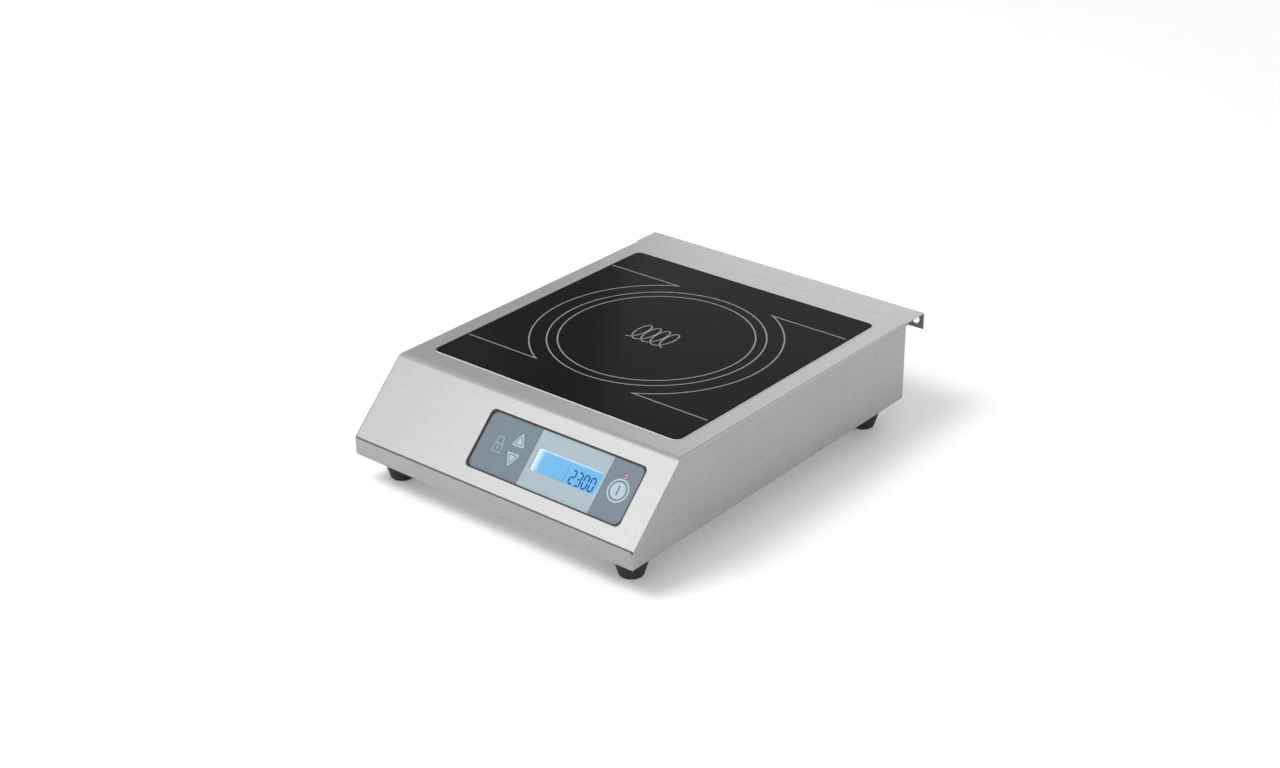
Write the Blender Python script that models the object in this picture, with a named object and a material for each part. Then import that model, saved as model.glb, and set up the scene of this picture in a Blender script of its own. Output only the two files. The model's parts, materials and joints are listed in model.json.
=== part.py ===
"""Countertop induction hob, modelled as the separate pieces that it comes apart into.

Frame: metres, +Z up, the sloped control panel faces -Y, and the origin is under the middle of
the hob on the surface that it stands on. Every piece is its own object. The panel's pieces hang
on the empty slope_frame, whose X runs along the panel, Y up the slope and Z out of it.
"""

import math

import bmesh
import bpy
from mathutils import Matrix, Vector

MM = 0.001
FIT_GAP = 0.3 * MM

# ---- housing -------------------------------------------------------------------------------
WIDTH = 320 * MM
DEPTH = 424 * MM
FLANGE_DEPTH = 30 * MM
CASE_Z = 26.5 * MM
CASE_HEIGHT = 76.5 * MM
APRON_HEIGHT = 16 * MM
SLOPE_RUN = 61.6 * MM
SHEET = 1.0 * MM
FOLD_RADIUS = 2.5 * MM
SLOPE_RADIUS = 3.5 * MM
WELD_RADIUS = 0.25 * MM
REAR_RADIUS = 1.5 * MM
RETURN_WIDTH = 13 * MM

HALF_WIDTH = WIDTH / 2
FRONT_Y = -DEPTH / 2
LIP_Y = DEPTH / 2
REAR_Y = LIP_Y - FLANGE_DEPTH - FIT_GAP
DECK_Z = CASE_Z + CASE_HEIGHT
FOLD_Z = CASE_Z + APRON_HEIGHT
SLOPE_Y = FRONT_Y + SLOPE_RUN
SLOPE_RISE = DECK_Z - FOLD_Z
SLOPE_ANGLE = math.atan2(SLOPE_RISE, SLOPE_RUN)
JOINT_LINE = 1.2 * MM

# ---- rear panel ----------------------------------------------------------------------------
REAR_PANEL_INSET = 3 * MM
LIP_HEIGHT = 16.7 * MM
LIP_HOLE_RADIUS = 4.3 * MM
LIP_HOLE_X = 151.3 * MM
VENT_COUNT = 24
VENT_PITCH = 9 * MM
VENT_RADIUS = 1.75 * MM
VENT_LENGTH = 34 * MM
VENT_CENTRE = (22 * MM, 66 * MM)
GLAND_CENTRE = (-122 * MM, 56 * MM)
GLAND_HOLE_RADIUS = 8.2 * MM
GLAND_CABLE_RADIUS = 3.8 * MM

# ---- glass and what carries it -----------------------------------------------------------------
GLASS_SIZE = (281 * MM, 289.3 * MM)
GLASS_CENTRE = (0.0, 15.4 * MM)
GLASS_CORNER = 7.5 * MM
GLASS_THICKNESS = 4 * MM
GLASS_PROUD = 1 * MM
GLASS_GAP = 0.4 * MM
GLASS_TOP = DECK_Z + GLASS_PROUD
GLASS_UNDER = GLASS_TOP - GLASS_THICKNESS
SEAL_THICKNESS = 1 * MM
FRAME_TOP = GLASS_UNDER - SEAL_THICKNESS - 2 * FIT_GAP
FRAME_THICKNESS = 1.2 * MM
FRAME_OVERLAP = 14 * MM
FRAME_SPREAD = 9.5 * MM

# ---- base plate, feet and screws -----------------------------------------------------------------
BASE_THICKNESS = 1.2 * MM
BASE_TOP = CASE_Z - FIT_GAP
BASE_UNDER = BASE_TOP - BASE_THICKNESS
BASE_INSET = 3 * MM
FOOT_X = 133.3 * MM
FOOT_FRONT_Y = -181.6 * MM
FOOT_REAR_Y = 156.3 * MM
FOOT_TOP_RADIUS = 18 * MM
FOOT_SOLE_RADIUS = 11.2 * MM
FOOT_BORE_RADIUS = 2.4 * MM
FOOT_POCKET_RADIUS = 5.2 * MM
FOOT_POCKET_DEPTH = 12 * MM
FOOT_TOP = BASE_UNDER - FIT_GAP
BASE_SCREW_X = 152.5 * MM
BASE_SCREW_Y = (-120 * MM, 112 * MM)
REAR_SCREW_X = 151.5 * MM
REAR_SCREW_Z = (48 * MM, 84 * MM)
SMALL_SCREW = (1.6 * MM, 3.2 * MM, 2.0 * MM)
FOOT_SCREW = (2.0 * MM, 4.4 * MM, 3.0 * MM)
SCREW_CLEARANCE = 0.4 * MM

# ---- coil ------------------------------------------------------------------------------------
COIL_CENTRE = (0.0, 16 * MM)
COIL_OUTER = 97 * MM
COIL_INNER = 30 * MM
COIL_HEIGHT = 6 * MM
MICA_RADIUS = 104 * MM
MICA_THICKNESS = 1 * MM
MICA_TOP = GLASS_UNDER - 0.8 * MM
COIL_TOP = MICA_TOP - MICA_THICKNESS - FIT_GAP
CARRIER_TOP = COIL_TOP - COIL_HEIGHT - FIT_GAP
CARRIER_THICKNESS = 3.6 * MM
CARRIER_RADIUS = 102 * MM
CARRIER_UNDER = CARRIER_TOP - CARRIER_THICKNESS
FERRITE_COUNT = 6
FERRITE_SIZE = (58 * MM, 15 * MM, 5 * MM)
FERRITE_MID_RADIUS = 63 * MM
TRAY_TOP = 75.5 * MM
TRAY_THICKNESS = 1.5 * MM
TRAY_WALL_X = 116 * MM
TRAY_FLANGE_X = 138 * MM
TRAY_LENGTH = 216 * MM
SPRING_COUNT = 3
SPRING_RING_RADIUS = 75 * MM
SPRING_RADIUS = 7 * MM
SPRING_WIRE_RADIUS = 0.7 * MM
SPRING_TURNS = 4
SENSOR_RADIUS = 6.5 * MM
LEAD_RADIUS = 2 * MM

# ---- power electronics -----------------------------------------------------------------------
BOARD_LOW = (-62 * MM, -28 * MM)
BOARD_HIGH = (134 * MM, 142 * MM)
BOARD_THICKNESS = 1.6 * MM
BOARD_TOP = 37 * MM
PART_BASE = BOARD_TOP + FIT_GAP
SINK_LOW = (46 * MM, -20 * MM)
SINK_HIGH = (126 * MM, 100 * MM)
SINK_HEIGHT = 33 * MM
SINK_BASE = 5 * MM
SINK_FINS = 12
SINK_FIN = 1.6 * MM
FAN_CENTRE = (85 * MM, -75 * MM)
FAN_SIZE = 80 * MM
FAN_HEIGHT = 25 * MM
FAN_BORE = 37.5 * MM
FAN_HUB = 16 * MM
FAN_TIP = 36.4 * MM
FAN_BLADES = 7
FAN_SHAFT = 1.5 * MM
FAN_HOLE_SPACING = 71.5 * MM
FAN_BASE = BASE_TOP + 1.5 * MM

# ---- control panel, in the slope's own frame ---------------------------------------------------
WINDOW_CENTRE = (50.4 * MM, 42.8 * MM)
WINDOW_SIZE = (172 * MM, 55.5 * MM)
WINDOW_CORNER = 5 * MM
FILM_OVERLAP = 3 * MM
FILM_TOP = -SHEET - FIT_GAP
FILM_UNDER = FILM_TOP - 0.5 * MM
CARRIER_PLATE_TOP = FILM_UNDER - FIT_GAP
CARRIER_PLATE_UNDER = CARRIER_PLATE_TOP - 2.5 * MM
DISPLAY_CENTRE = (62.9 * MM, 43 * MM)
DISPLAY_SIZE = (69 * MM, 20 * MM)
DISPLAY_EDGE = 2 * MM
DISPLAY_UNDER = CARRIER_PLATE_TOP - 0.9 * MM
MODULE_TOP = -4.9 * MM
MODULE_SIZE = (75 * MM, 27 * MM)
CONTROL_BOARD_TOP = -9 * MM
CONTROL_BOARD_SIZE = (164 * MM, 60 * MM)
SWITCH_TOP = -5 * MM
SWITCH_SIZE = 6 * MM
KEY_TRAVEL = 0.4 * MM
KEY_GAP = 0.25 * MM
KEY_STEM_RADIUS = 2.4 * MM
KEY_STEM_END = SWITCH_TOP + KEY_TRAVEL + 0.1 * MM
POWER_KEY_CENTRE = (118.6 * MM, 43.6 * MM)
POWER_KEY_RADIUS = 8.1 * MM
ARROW_KEY_X = 5.9 * MM
ARROW_HALF_WIDTH = 7 * MM
ARROW_HEIGHT = 13 * MM
UP_KEY_BASE = 46.7 * MM
DOWN_KEY_BASE = 40.4 * MM
ARROW_CORNER = 0.8 * MM
LOCK_KEY_CENTRE = (-13.1 * MM, 43 * MM)
LOCK_KEY_SIZE = (14 * MM, 19 * MM)
LED_CENTRE = (118.6 * MM, 56.7 * MM)
LED_RADIUS = 1.9 * MM

# ---- finishes: colour, roughness, metallic ------------------------------------------------------
FINISHES = {
    "stainless": ((0.62, 0.62, 0.61), 0.32, 1.0),
    "zinc_steel": ((0.52, 0.53, 0.54), 0.45, 1.0),
    "screw_steel": ((0.55, 0.55, 0.56), 0.3, 1.0),
    "ceramic_glass": ((0.015, 0.015, 0.017), 0.08, 0.0),
    "silicone": ((0.05, 0.05, 0.05), 0.6, 0.0),
    "foot_rubber": ((0.02, 0.02, 0.02), 0.75, 0.0),
    "mica": ((0.72, 0.66, 0.5), 0.7, 0.0),
    "copper_litz": ((0.72, 0.38, 0.2), 0.4, 1.0),
    "carrier_plastic": ((0.06, 0.06, 0.06), 0.55, 0.0),
    "ferrite": ((0.07, 0.07, 0.075), 0.6, 0.0),
    "aluminium": ((0.75, 0.76, 0.77), 0.35, 1.0),
    "sensor_ceramic": ((0.85, 0.84, 0.8), 0.5, 0.0),
    "board_green": ((0.05, 0.25, 0.12), 0.5, 0.0),
    "chip_black": ((0.03, 0.03, 0.03), 0.5, 0.0),
    "capacitor_grey": ((0.45, 0.46, 0.47), 0.5, 0.0),
    "choke_green": ((0.1, 0.3, 0.16), 0.5, 0.0),
    "terminal_nylon": ((0.8, 0.79, 0.74), 0.5, 0.0),
    "fan_plastic": ((0.03, 0.03, 0.03), 0.5, 0.0),
    "panel_film": ((0.2, 0.25, 0.3), 0.4, 0.0),
    "display_clear": ((0.75, 0.85, 0.95), 0.1, 0.0),
    "lcd_blue": ((0.15, 0.45, 0.85), 0.25, 0.0),
    "led_red": ((0.8, 0.1, 0.2), 0.3, 0.0),
    "ribbon_grey": ((0.6, 0.6, 0.6), 0.6, 0.0),
    "lead_jacket": ((0.7, 0.12, 0.08), 0.6, 0.0),
    "gland_nylon": ((0.04, 0.04, 0.04), 0.5, 0.0),
}


# ================================ outlines, in two dimensions ====================================
def circle(radius, sides, centre=(0.0, 0.0)):
    """Points of a circle, anticlockwise."""
    turn = 2 * math.pi / sides
    return [
        (centre[0] + radius * math.cos(i * turn), centre[1] + radius * math.sin(i * turn))
        for i in range(sides)
    ]


def rounded(corners, radius, steps):
    """A closed outline whose corners, given anticlockwise, are each an arc of steps chords."""
    points = []
    count = len(corners)
    for i, corner in enumerate(corners):
        here = Vector(corner)
        back = (Vector(corners[i - 1]) - here).normalized()
        ahead = (Vector(corners[(i + 1) % count]) - here).normalized()
        half = back.angle(ahead) / 2
        centre = here + (back + ahead).normalized() * radius / math.sin(half)
        first = here + back * radius / math.tan(half) - centre
        sweep = math.pi - 2 * half
        for k in range(steps + 1):
            turn = Matrix.Rotation(sweep * k / steps, 2)
            points.append(tuple(centre + turn @ first))
    return points


def rectangle(size, radius, centre=(0.0, 0.0), steps=4):
    """A rounded rectangle around a centre, anticlockwise from its lower left corner."""
    x, y = size[0] / 2, size[1] / 2
    cx, cy = centre
    corners = [(cx - x, cy - y), (cx + x, cy - y), (cx + x, cy + y), (cx - x, cy + y)]
    return rounded(corners, radius, steps)


def slot(centre, length, radius, steps=5):
    """An upright slot with round ends, anticlockwise."""
    reach = length / 2 - radius
    points = []
    for start, shift in ((0.0, reach), (math.pi, -reach)):
        for k in range(steps + 1):
            angle = start + math.pi * k / steps
            x = centre[0] + radius * math.cos(angle)
            points.append((x, centre[1] + shift + radius * math.sin(angle)))
    return points


def moved(points, distance, closed=True):
    """The points moved sideways, to the right of the way they run, with mitred corners."""
    out = []
    count = len(points)
    for i, point in enumerate(points):
        here = Vector(point)
        before = Vector(points[i - 1]) if closed or i > 0 else None
        after = Vector(points[(i + 1) % count]) if closed or i < count - 1 else None
        runs = [(here - before).normalized()] if before is not None else []
        runs += [(after - here).normalized()] if after is not None else []
        sides = [Vector((run.y, -run.x)) for run in runs]
        mean = sum(sides, Vector((0.0, 0.0))).normalized()
        out.append(tuple(here + mean * distance / mean.dot(sides[0])))
    return out


def bent_sheet(path, thickness, radius, steps=3):
    """The closed outline of a folded sheet, whose one face follows path with rounded folds."""
    face = [path[0]]
    for i in range(1, len(path) - 1):
        here = Vector(path[i])
        back = (Vector(path[i - 1]) - here).normalized()
        ahead = (Vector(path[i + 1]) - here).normalized()
        clockwise = back.x * ahead.y - back.y * ahead.x > 0
        bend = radius if clockwise else radius - thickness
        half = back.angle(ahead) / 2
        centre = here + (back + ahead).normalized() * bend / math.sin(half)
        first = here + back * bend / math.tan(half) - centre
        sweep = (math.pi - 2 * half) * (-1 if clockwise else 1)
        for k in range(steps + 1):
            face.append(tuple(centre + Matrix.Rotation(sweep * k / steps, 2) @ first))
    face.append(path[-1])
    return face + moved(face, thickness, closed=False)[::-1]


# ================================ solids, as bmesh ==============================================
def loft(loops, closed=False):
    """A solid through loops of points: capped at its ends, or closed round on itself."""
    bm = bmesh.new()
    add_loft(bm, loops, closed)
    return bm


def add_loft(bm, loops, closed=False):
    """Adds one more lofted body to bm."""
    rings = [[bm.verts.new(point) for point in loop] for loop in loops]
    pairs = list(zip(rings, rings[1:]))
    if closed:
        pairs.append((rings[-1], rings[0]))
    else:
        bm.faces.new(rings[0])
        bm.faces.new(rings[-1])
    for low, high in pairs:
        for i in range(len(low)):
            j = (i + 1) % len(low)
            bm.faces.new((low[i], low[j], high[j], high[i]))


def level(points, z):
    """A flat outline as points at one height."""
    return [(x, y, z) for x, y in points]


def prism(points, low, high):
    """An outline drawn up from one height to another."""
    return loft([level(points, low), level(points, high)])


def prisms(outlines, low, high):
    """Several separate prisms in one mesh, for cutting."""
    bm = bmesh.new()
    for points in outlines:
        add_loft(bm, [level(points, low), level(points, high)])
    return bm


def block(low, high):
    """A box from its lowest to its highest corner."""
    outline = [(low[0], low[1]), (high[0], low[1]), (high[0], high[1]), (low[0], high[1])]
    return prism(outline, low[2], high[2])


def turned(profile, sides, closed=False):
    """A solid turned about Z from (radius, z) pairs, or a ring from a closed outline of them."""
    return loft([level(circle(radius, sides), z) for radius, z in profile], closed)


def along_x(outline, low, high):
    """An outline in (y, z), drawn out along X."""
    return loft([[(x, y, z) for y, z in outline] for x in (low, high)])


def along_y(outline, low, high):
    """An outline in (x, z), drawn out along Y."""
    return loft([[(x, y, z) for x, z in outline] for y in (low, high)])


def tube(path, radius, sides):
    """A round rod whose middle follows a path of points."""
    loops = []
    normal = None
    for i, point in enumerate(path):
        ahead = Vector(path[min(i + 1, len(path) - 1)]) - Vector(path[max(i - 1, 0)])
        ahead.normalize()
        if normal is None:
            normal = ahead.orthogonal()
        normal = (normal - ahead * normal.dot(ahead)).normalized()
        across = ahead.cross(normal)
        loops.append(
            [Vector(point) + normal * radius * a + across * radius * b for a, b in circle(1, sides)]
        )
    return loft(loops)


def smooth_path(points, steps):
    """A Catmull-Rom curve through the points, with steps chords between each two."""
    ends = [points[0]] + points + [points[-1]]
    path = [Vector(points[0])]
    for i in range(1, len(ends) - 2):
        p0, p1, p2, p3 = (Vector(ends[i + k]) for k in (-1, 0, 1, 2))
        for k in range(1, steps + 1):
            t = k / steps
            path.append(
                0.5
                * (
                    2 * p1
                    + (p2 - p0) * t
                    + (2 * p0 - 5 * p1 + 4 * p2 - p3) * t ** 2
                    + (3 * p1 - p0 - 3 * p2 + p3) * t ** 3
                )
            )
    return path


# ================================ objects ========================================================
def clear_scene():
    """Removes what the file opens with."""
    for thing in list(bpy.data.objects):
        bpy.data.objects.remove(thing, do_unlink=True)


def finish(name):
    """The Principled material of one finish."""
    material = bpy.data.materials.get(name)
    if material:
        return material
    colour, roughness, metallic = FINISHES[name]
    material = bpy.data.materials.new(name)
    material.use_nodes = True
    shader = material.node_tree.nodes["Principled BSDF"]
    shader.inputs["Base Color"].default_value = (*colour, 1.0)
    shader.inputs["Roughness"].default_value = roughness
    shader.inputs["Metallic"].default_value = metallic
    return material


def piece(name, bm, look, location=(0.0, 0.0, 0.0), turn=0.0, parent=None):
    """One sub-part: a mesh object with its finish, placed by its location and turn about Z."""
    bmesh.ops.recalc_face_normals(bm, faces=bm.faces)
    mesh = bpy.data.meshes.new(name)
    bm.to_mesh(mesh)
    bm.free()
    mesh.shade_smooth()
    mesh.set_sharp_from_angle(angle=math.radians(35))
    thing = bpy.data.objects.new(name, mesh)
    bpy.context.scene.collection.objects.link(thing)
    thing.location = location
    thing.rotation_euler = (0.0, 0.0, turn)
    thing.parent = parent
    if look:
        thing.data.materials.append(finish(look))
    return thing


def combine(target, name, bm, operation="DIFFERENCE"):
    """Cuts a shape from a piece, or joins one to it. The shape is in the piece's own frame."""
    tool = piece(name, bm, None, target.location, target.rotation_euler.z, target.parent)
    tool.hide_render = True
    tool.display_type = "WIRE"
    change = target.modifiers.new(name, "BOOLEAN")
    change.operation = operation
    change.object = tool
    change.solver = "EXACT"


def empty(name, matrix):
    """A frame that pieces hang on."""
    thing = bpy.data.objects.new(name, None)
    bpy.context.scene.collection.objects.link(thing)
    thing.matrix_world = matrix
    return thing


# ================================ housing ========================================================
def fold_radius(start, end):
    """The outer radius of one of the case's edges, from the places of its two ends."""
    near = 2 * MM
    along_width = abs(start.x - end.x) > HALF_WIDTH
    rear = min(start.y, end.y) > REAR_Y - near
    if min(start.z, end.z) > DECK_Z - near:
        if not along_width:
            return FOLD_RADIUS
        return REAR_RADIUS if rear else SLOPE_RADIUS
    if rear or max(start.z, end.z) < CASE_Z + near:
        return REAR_RADIUS
    if along_width:
        return 0.0
    return FOLD_RADIUS if max(start.y, end.y) < FRONT_Y + near else WELD_RADIUS


def case_solid(inset):
    """The case's filled shape, moved in by inset, with the folds' radii reduced to suit."""
    outline = [
        (FRONT_Y, CASE_Z),
        (REAR_Y, CASE_Z),
        (REAR_Y, DECK_Z),
        (SLOPE_Y, DECK_Z),
        (FRONT_Y, FOLD_Z),
    ]
    side = HALF_WIDTH - inset
    bm = along_x(moved(outline, -inset), -side, side)
    weights = bm.edges.layers.float.new("bevel_weight_edge")
    for edge in bm.edges:
        radius = fold_radius(*(vert.co for vert in edge.verts))
        edge[weights] = max(radius - inset, 0.0) / SLOPE_RADIUS
    return bm


def round_folds(thing):
    """Rounds the edges that carry a bevel weight."""
    bevel = thing.modifiers.new("folds", "BEVEL")
    bevel.limit_method = "WEIGHT"
    bevel.width = SLOPE_RADIUS
    bevel.segments = 3


def make_housing(slope):
    """Deck, slope, sides and apron: one folded and welded sheet, open below and behind."""
    housing = piece("housing", case_solid(0.0), "stainless")
    round_folds(housing)
    combine(housing, "housing_hollow", case_solid(SHEET))
    round_folds(bpy.data.objects["housing_hollow"])
    inner_x = HALF_WIDTH - RETURN_WIDTH
    below = block(
        (-inner_x, FRONT_Y + RETURN_WIDTH, CASE_Z - 5 * MM),
        (inner_x, REAR_Y - RETURN_WIDTH, CASE_Z + 3 * MM),
    )
    combine(housing, "housing_open_below", below)
    behind = block(
        (-inner_x, REAR_Y - 4 * MM, CASE_Z + RETURN_WIDTH),
        (inner_x, REAR_Y + 5 * MM, DECK_Z - RETURN_WIDTH),
    )
    combine(housing, "housing_open_behind", behind)
    size = tuple(side + 2 * GLASS_GAP for side in GLASS_SIZE)
    opening = rectangle(size, GLASS_CORNER + GLASS_GAP, GLASS_CENTRE, 6)
    combine(housing, "glass_opening", prism(opening, DECK_Z - 5 * MM, DECK_Z + 5 * MM))
    window = prism(rectangle(WINDOW_SIZE, WINDOW_CORNER, WINDOW_CENTRE, 5), -5 * MM, 5 * MM)
    window.transform(slope.matrix_world)
    combine(housing, "panel_window", window)
    reach = HALF_WIDTH - 0.8 * MM
    line = block((-reach, 0.2 * MM, -3 * MM), (reach, 0.2 * MM + JOINT_LINE, 3 * MM))
    line.transform(slope.matrix_world)
    combine(housing, "joint_line", line)
    for side in (-1, 1):
        round_end = circle(1.0 * MM, 10, (FRONT_Y + 0.8 * MM, FOLD_Z + 0.2 * MM))
        notch = along_x(round_end, side * (HALF_WIDTH - 2.2 * MM), side * (HALF_WIDTH + 1 * MM))
        combine(housing, f"joint_end_{side + 1}", notch)
    radius = SMALL_SCREW[0] + SCREW_CLEARANCE
    spots = [(x, y) for x in (-BASE_SCREW_X, BASE_SCREW_X) for y in BASE_SCREW_Y]
    holes = prisms([circle(radius, 12, spot) for spot in spots], CASE_Z - 3 * MM, CASE_Z + 3 * MM)
    combine(housing, "base_screw_holes", holes)
    combine(housing, "rear_screw_holes", rear_screw_holes())


def rear_screw_holes():
    """The four screw holes through the housing's rear folds and the rear panel."""
    radius = SMALL_SCREW[0] + SCREW_CLEARANCE
    bm = bmesh.new()
    for x in (-REAR_SCREW_X, REAR_SCREW_X):
        for z in REAR_SCREW_Z:
            hole = circle(radius, 12, (x, z))
            low, high = REAR_Y - 3 * MM, REAR_Y + 3 * MM
            add_loft(bm, [[(a, y, b) for a, b in hole] for y in (low, high)])
    bmesh.ops.recalc_face_normals(bm, faces=bm.faces)
    return bm


def make_rear_panel():
    """Closes the back, then folds back level with the deck and down into a lip."""
    face_y = REAR_Y + FIT_GAP
    path = [
        (face_y, CASE_Z + 0.5 * MM),
        (face_y, DECK_Z),
        (LIP_Y, DECK_Z),
        (LIP_Y, DECK_Z - LIP_HEIGHT),
    ]
    outline = bent_sheet(path, SHEET, REAR_RADIUS)
    panel = piece("rear_panel", along_x(outline, -HALF_WIDTH, HALF_WIDTH), "stainless")
    reach = HALF_WIDTH - REAR_PANEL_INSET
    for side in (-1, 1):
        low, high = sorted((side * reach, side * (HALF_WIDTH + 1 * MM)))
        strip = block((low, face_y - 1 * MM, CASE_Z - 1 * MM), (high, face_y + 1.4 * MM, DECK_Z - 3 * MM))
        combine(panel, f"rear_panel_side_{side + 1}", strip)
    combine(panel, "rear_panel_screw_holes", rear_screw_holes())
    holes = bmesh.new()
    for i in range(VENT_COUNT):
        x = VENT_CENTRE[0] + (i - (VENT_COUNT - 1) / 2) * VENT_PITCH
        opening = slot((x, VENT_CENTRE[1]), VENT_LENGTH, VENT_RADIUS)
        add_loft(holes, [[(a, y, b) for a, b in opening] for y in (face_y - 2 * MM, face_y + 3 * MM)])
    gland = circle(GLAND_HOLE_RADIUS, 24, GLAND_CENTRE)
    add_loft(holes, [[(a, y, b) for a, b in gland] for y in (face_y - 2 * MM, face_y + 3 * MM)])
    for x in (-LIP_HOLE_X, LIP_HOLE_X):
        hole = circle(LIP_HOLE_RADIUS, 24, (x, DECK_Z - LIP_HEIGHT / 2))
        add_loft(holes, [[(a, y, b) for a, b in hole] for y in (LIP_Y - 3 * MM, LIP_Y + 3 * MM)])
    combine(panel, "rear_panel_openings", holes)


def make_base_plate():
    """The underside: air intake slots, holes for feet and screws, and pressed pillars."""
    centre_y = (FRONT_Y + REAR_Y) / 2
    size = (WIDTH - 2 * BASE_INSET, REAR_Y - FRONT_Y - 2 * BASE_INSET)
    outline = rectangle(size, 3 * MM, (0.0, centre_y), 3)
    plate = piece("base_plate", prism(outline, BASE_UNDER, BASE_TOP), "zinc_steel")
    holes = []
    for x in (-FOOT_X, FOOT_X):
        for y in (FOOT_FRONT_Y, FOOT_REAR_Y):
            holes.append(circle(FOOT_BORE_RADIUS, 12, (x, y)))
    for x in (-BASE_SCREW_X, BASE_SCREW_X):
        for y in BASE_SCREW_Y:
            holes.append(circle(SMALL_SCREW[0] + SCREW_CLEARANCE, 12, (x, y)))
    pitch = 7.6 * MM
    for i in range(-4, 5):
        x = FAN_CENTRE[0] + i * pitch
        chord = math.sqrt((FAN_TIP + 1 * MM) ** 2 - (i * pitch) ** 2)
        length = chord - 2 * MM
        for side in (-1, 1):
            y = FAN_CENTRE[1] + side * (2 * MM + length / 2)
            holes.append(slot((x, y), length, 2.2 * MM))
    combine(plate, "base_plate_holes", prisms(holes, BASE_UNDER - 2 * MM, BASE_TOP + 2 * MM))
    inset = 6 * MM
    studs = bmesh.new()
    for x in (BOARD_LOW[0] + inset, BOARD_HIGH[0] - inset):
        for y in (BOARD_LOW[1] + inset, BOARD_HIGH[1] - inset):
            stud = circle(3.2 * MM, 12, (x, y))
            top = BOARD_TOP - BOARD_THICKNESS - FIT_GAP
            add_loft(studs, [level(stud, BASE_TOP - 0.5 * MM), level(stud, top)])
    spacing = FAN_HOLE_SPACING / 2
    for x in (-spacing, spacing):
        for y in (-spacing, spacing):
            stud = circle(3.0 * MM, 12, (FAN_CENTRE[0] + x, FAN_CENTRE[1] + y))
            add_loft(studs, [level(stud, BASE_TOP - 0.5 * MM), level(stud, FAN_BASE - FIT_GAP)])
    combine(plate, "base_plate_studs", studs, "UNION")


def make_gland():
    """Nylon cable gland in the rear panel: dome outside, nut inside, and a bore for the cord."""
    y = REAR_Y + FIT_GAP
    bore = GLAND_CABLE_RADIUS
    neck = GLAND_HOLE_RADIUS - 0.4 * MM
    inside = y - 2 * FIT_GAP - 6 * MM
    seat = y - 1.5 * FIT_GAP
    out = y + SHEET + FIT_GAP
    profile = [
        (bore, inside),
        (11 * MM, inside),
        (11 * MM, seat),
        (neck, seat),
        (neck, out),
        (11.5 * MM, out),
        (11.5 * MM, out + 5 * MM),
        (10 * MM, out + 6 * MM),
        (9.5 * MM, out + 12 * MM),
        (7.5 * MM, out + 15 * MM),
        (bore, out + 15.5 * MM),
    ]
    bm = turned([(radius, -along) for radius, along in profile], 20, closed=True)
    bm.transform(Matrix.Rotation(math.pi / 2, 4, "X"))
    piece("cable_gland", bm, "gland_nylon", (GLAND_CENTRE[0], 0.0, GLAND_CENTRE[1]))


# ================================ feet and screws ================================================
def make_feet():
    """Four tapered rubber feet, each with its screw up a pocket in the sole."""
    sole = FOOT_SOLE_RADIUS
    profile = [
        (FOOT_POCKET_RADIUS, 0.0),
        (sole - 2 * MM, 0.0),
        (sole - 0.5 * MM, 0.6 * MM),
        (sole + 0.5 * MM, 2.2 * MM),
        (FOOT_TOP_RADIUS, FOOT_TOP),
        (FOOT_BORE_RADIUS, FOOT_TOP),
        (FOOT_BORE_RADIUS, FOOT_POCKET_DEPTH),
        (FOOT_POCKET_RADIUS, FOOT_POCKET_DEPTH),
    ]
    for row, y in (("front", FOOT_FRONT_Y), ("rear", FOOT_REAR_Y)):
        for side, x in (("left", -FOOT_X), ("right", FOOT_X)):
            place = (x, y, 0.0)
            name = f"foot_{row}_{side}"
            piece(name, turned(profile, 24, closed=True), "foot_rubber", place)
            head = FOOT_POCKET_DEPTH - FIT_GAP
            screw = screw_shape(FOOT_SCREW, 20 * MM)
            piece(f"foot_screw_{row}_{side}", screw, "screw_steel", (x, y, head))


def screw_shape(size, length):
    """A pan-head screw: its seat is at the origin, its shank runs up, its head hangs below."""
    shank, head, height = size
    profile = [
        (head * 0.45, -height),
        (head * 0.8, -height * 0.9),
        (head, -height * 0.45),
        (head, 0.0),
        (shank, 0.0),
        (shank, length - shank),
        (shank * 0.4, length),
    ]
    return turned(profile, 12)


def make_screws():
    """The screws that hold the base plate and the rear panel to the housing's folds."""
    names = ("front", "rear")
    for side, x in (("left", -BASE_SCREW_X), ("right", BASE_SCREW_X)):
        for row, y in zip(names, BASE_SCREW_Y):
            place = (x, y, BASE_UNDER - FIT_GAP)
            piece(f"base_screw_{row}_{side}", screw_shape(SMALL_SCREW, 9 * MM), "screw_steel", place)
    for side, x in (("left", -REAR_SCREW_X), ("right", REAR_SCREW_X)):
        for row, z in zip(("low", "high"), REAR_SCREW_Z):
            bm = screw_shape(SMALL_SCREW, 9 * MM)
            bm.transform(Matrix.Rotation(math.pi / 2, 4, "X"))
            place = (x, REAR_Y + SHEET + 2 * FIT_GAP, z)
            piece(f"rear_screw_{row}_{side}", bm, "screw_steel", place)


# ================================ glass ==========================================================
def glass_outline(spread, steps=6):
    """The glass plate's outline, made larger all round by spread."""
    size = tuple(side + 2 * spread for side in GLASS_SIZE)
    return rectangle(size, max(GLASS_CORNER + spread, 1 * MM), GLASS_CENTRE, steps)


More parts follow.
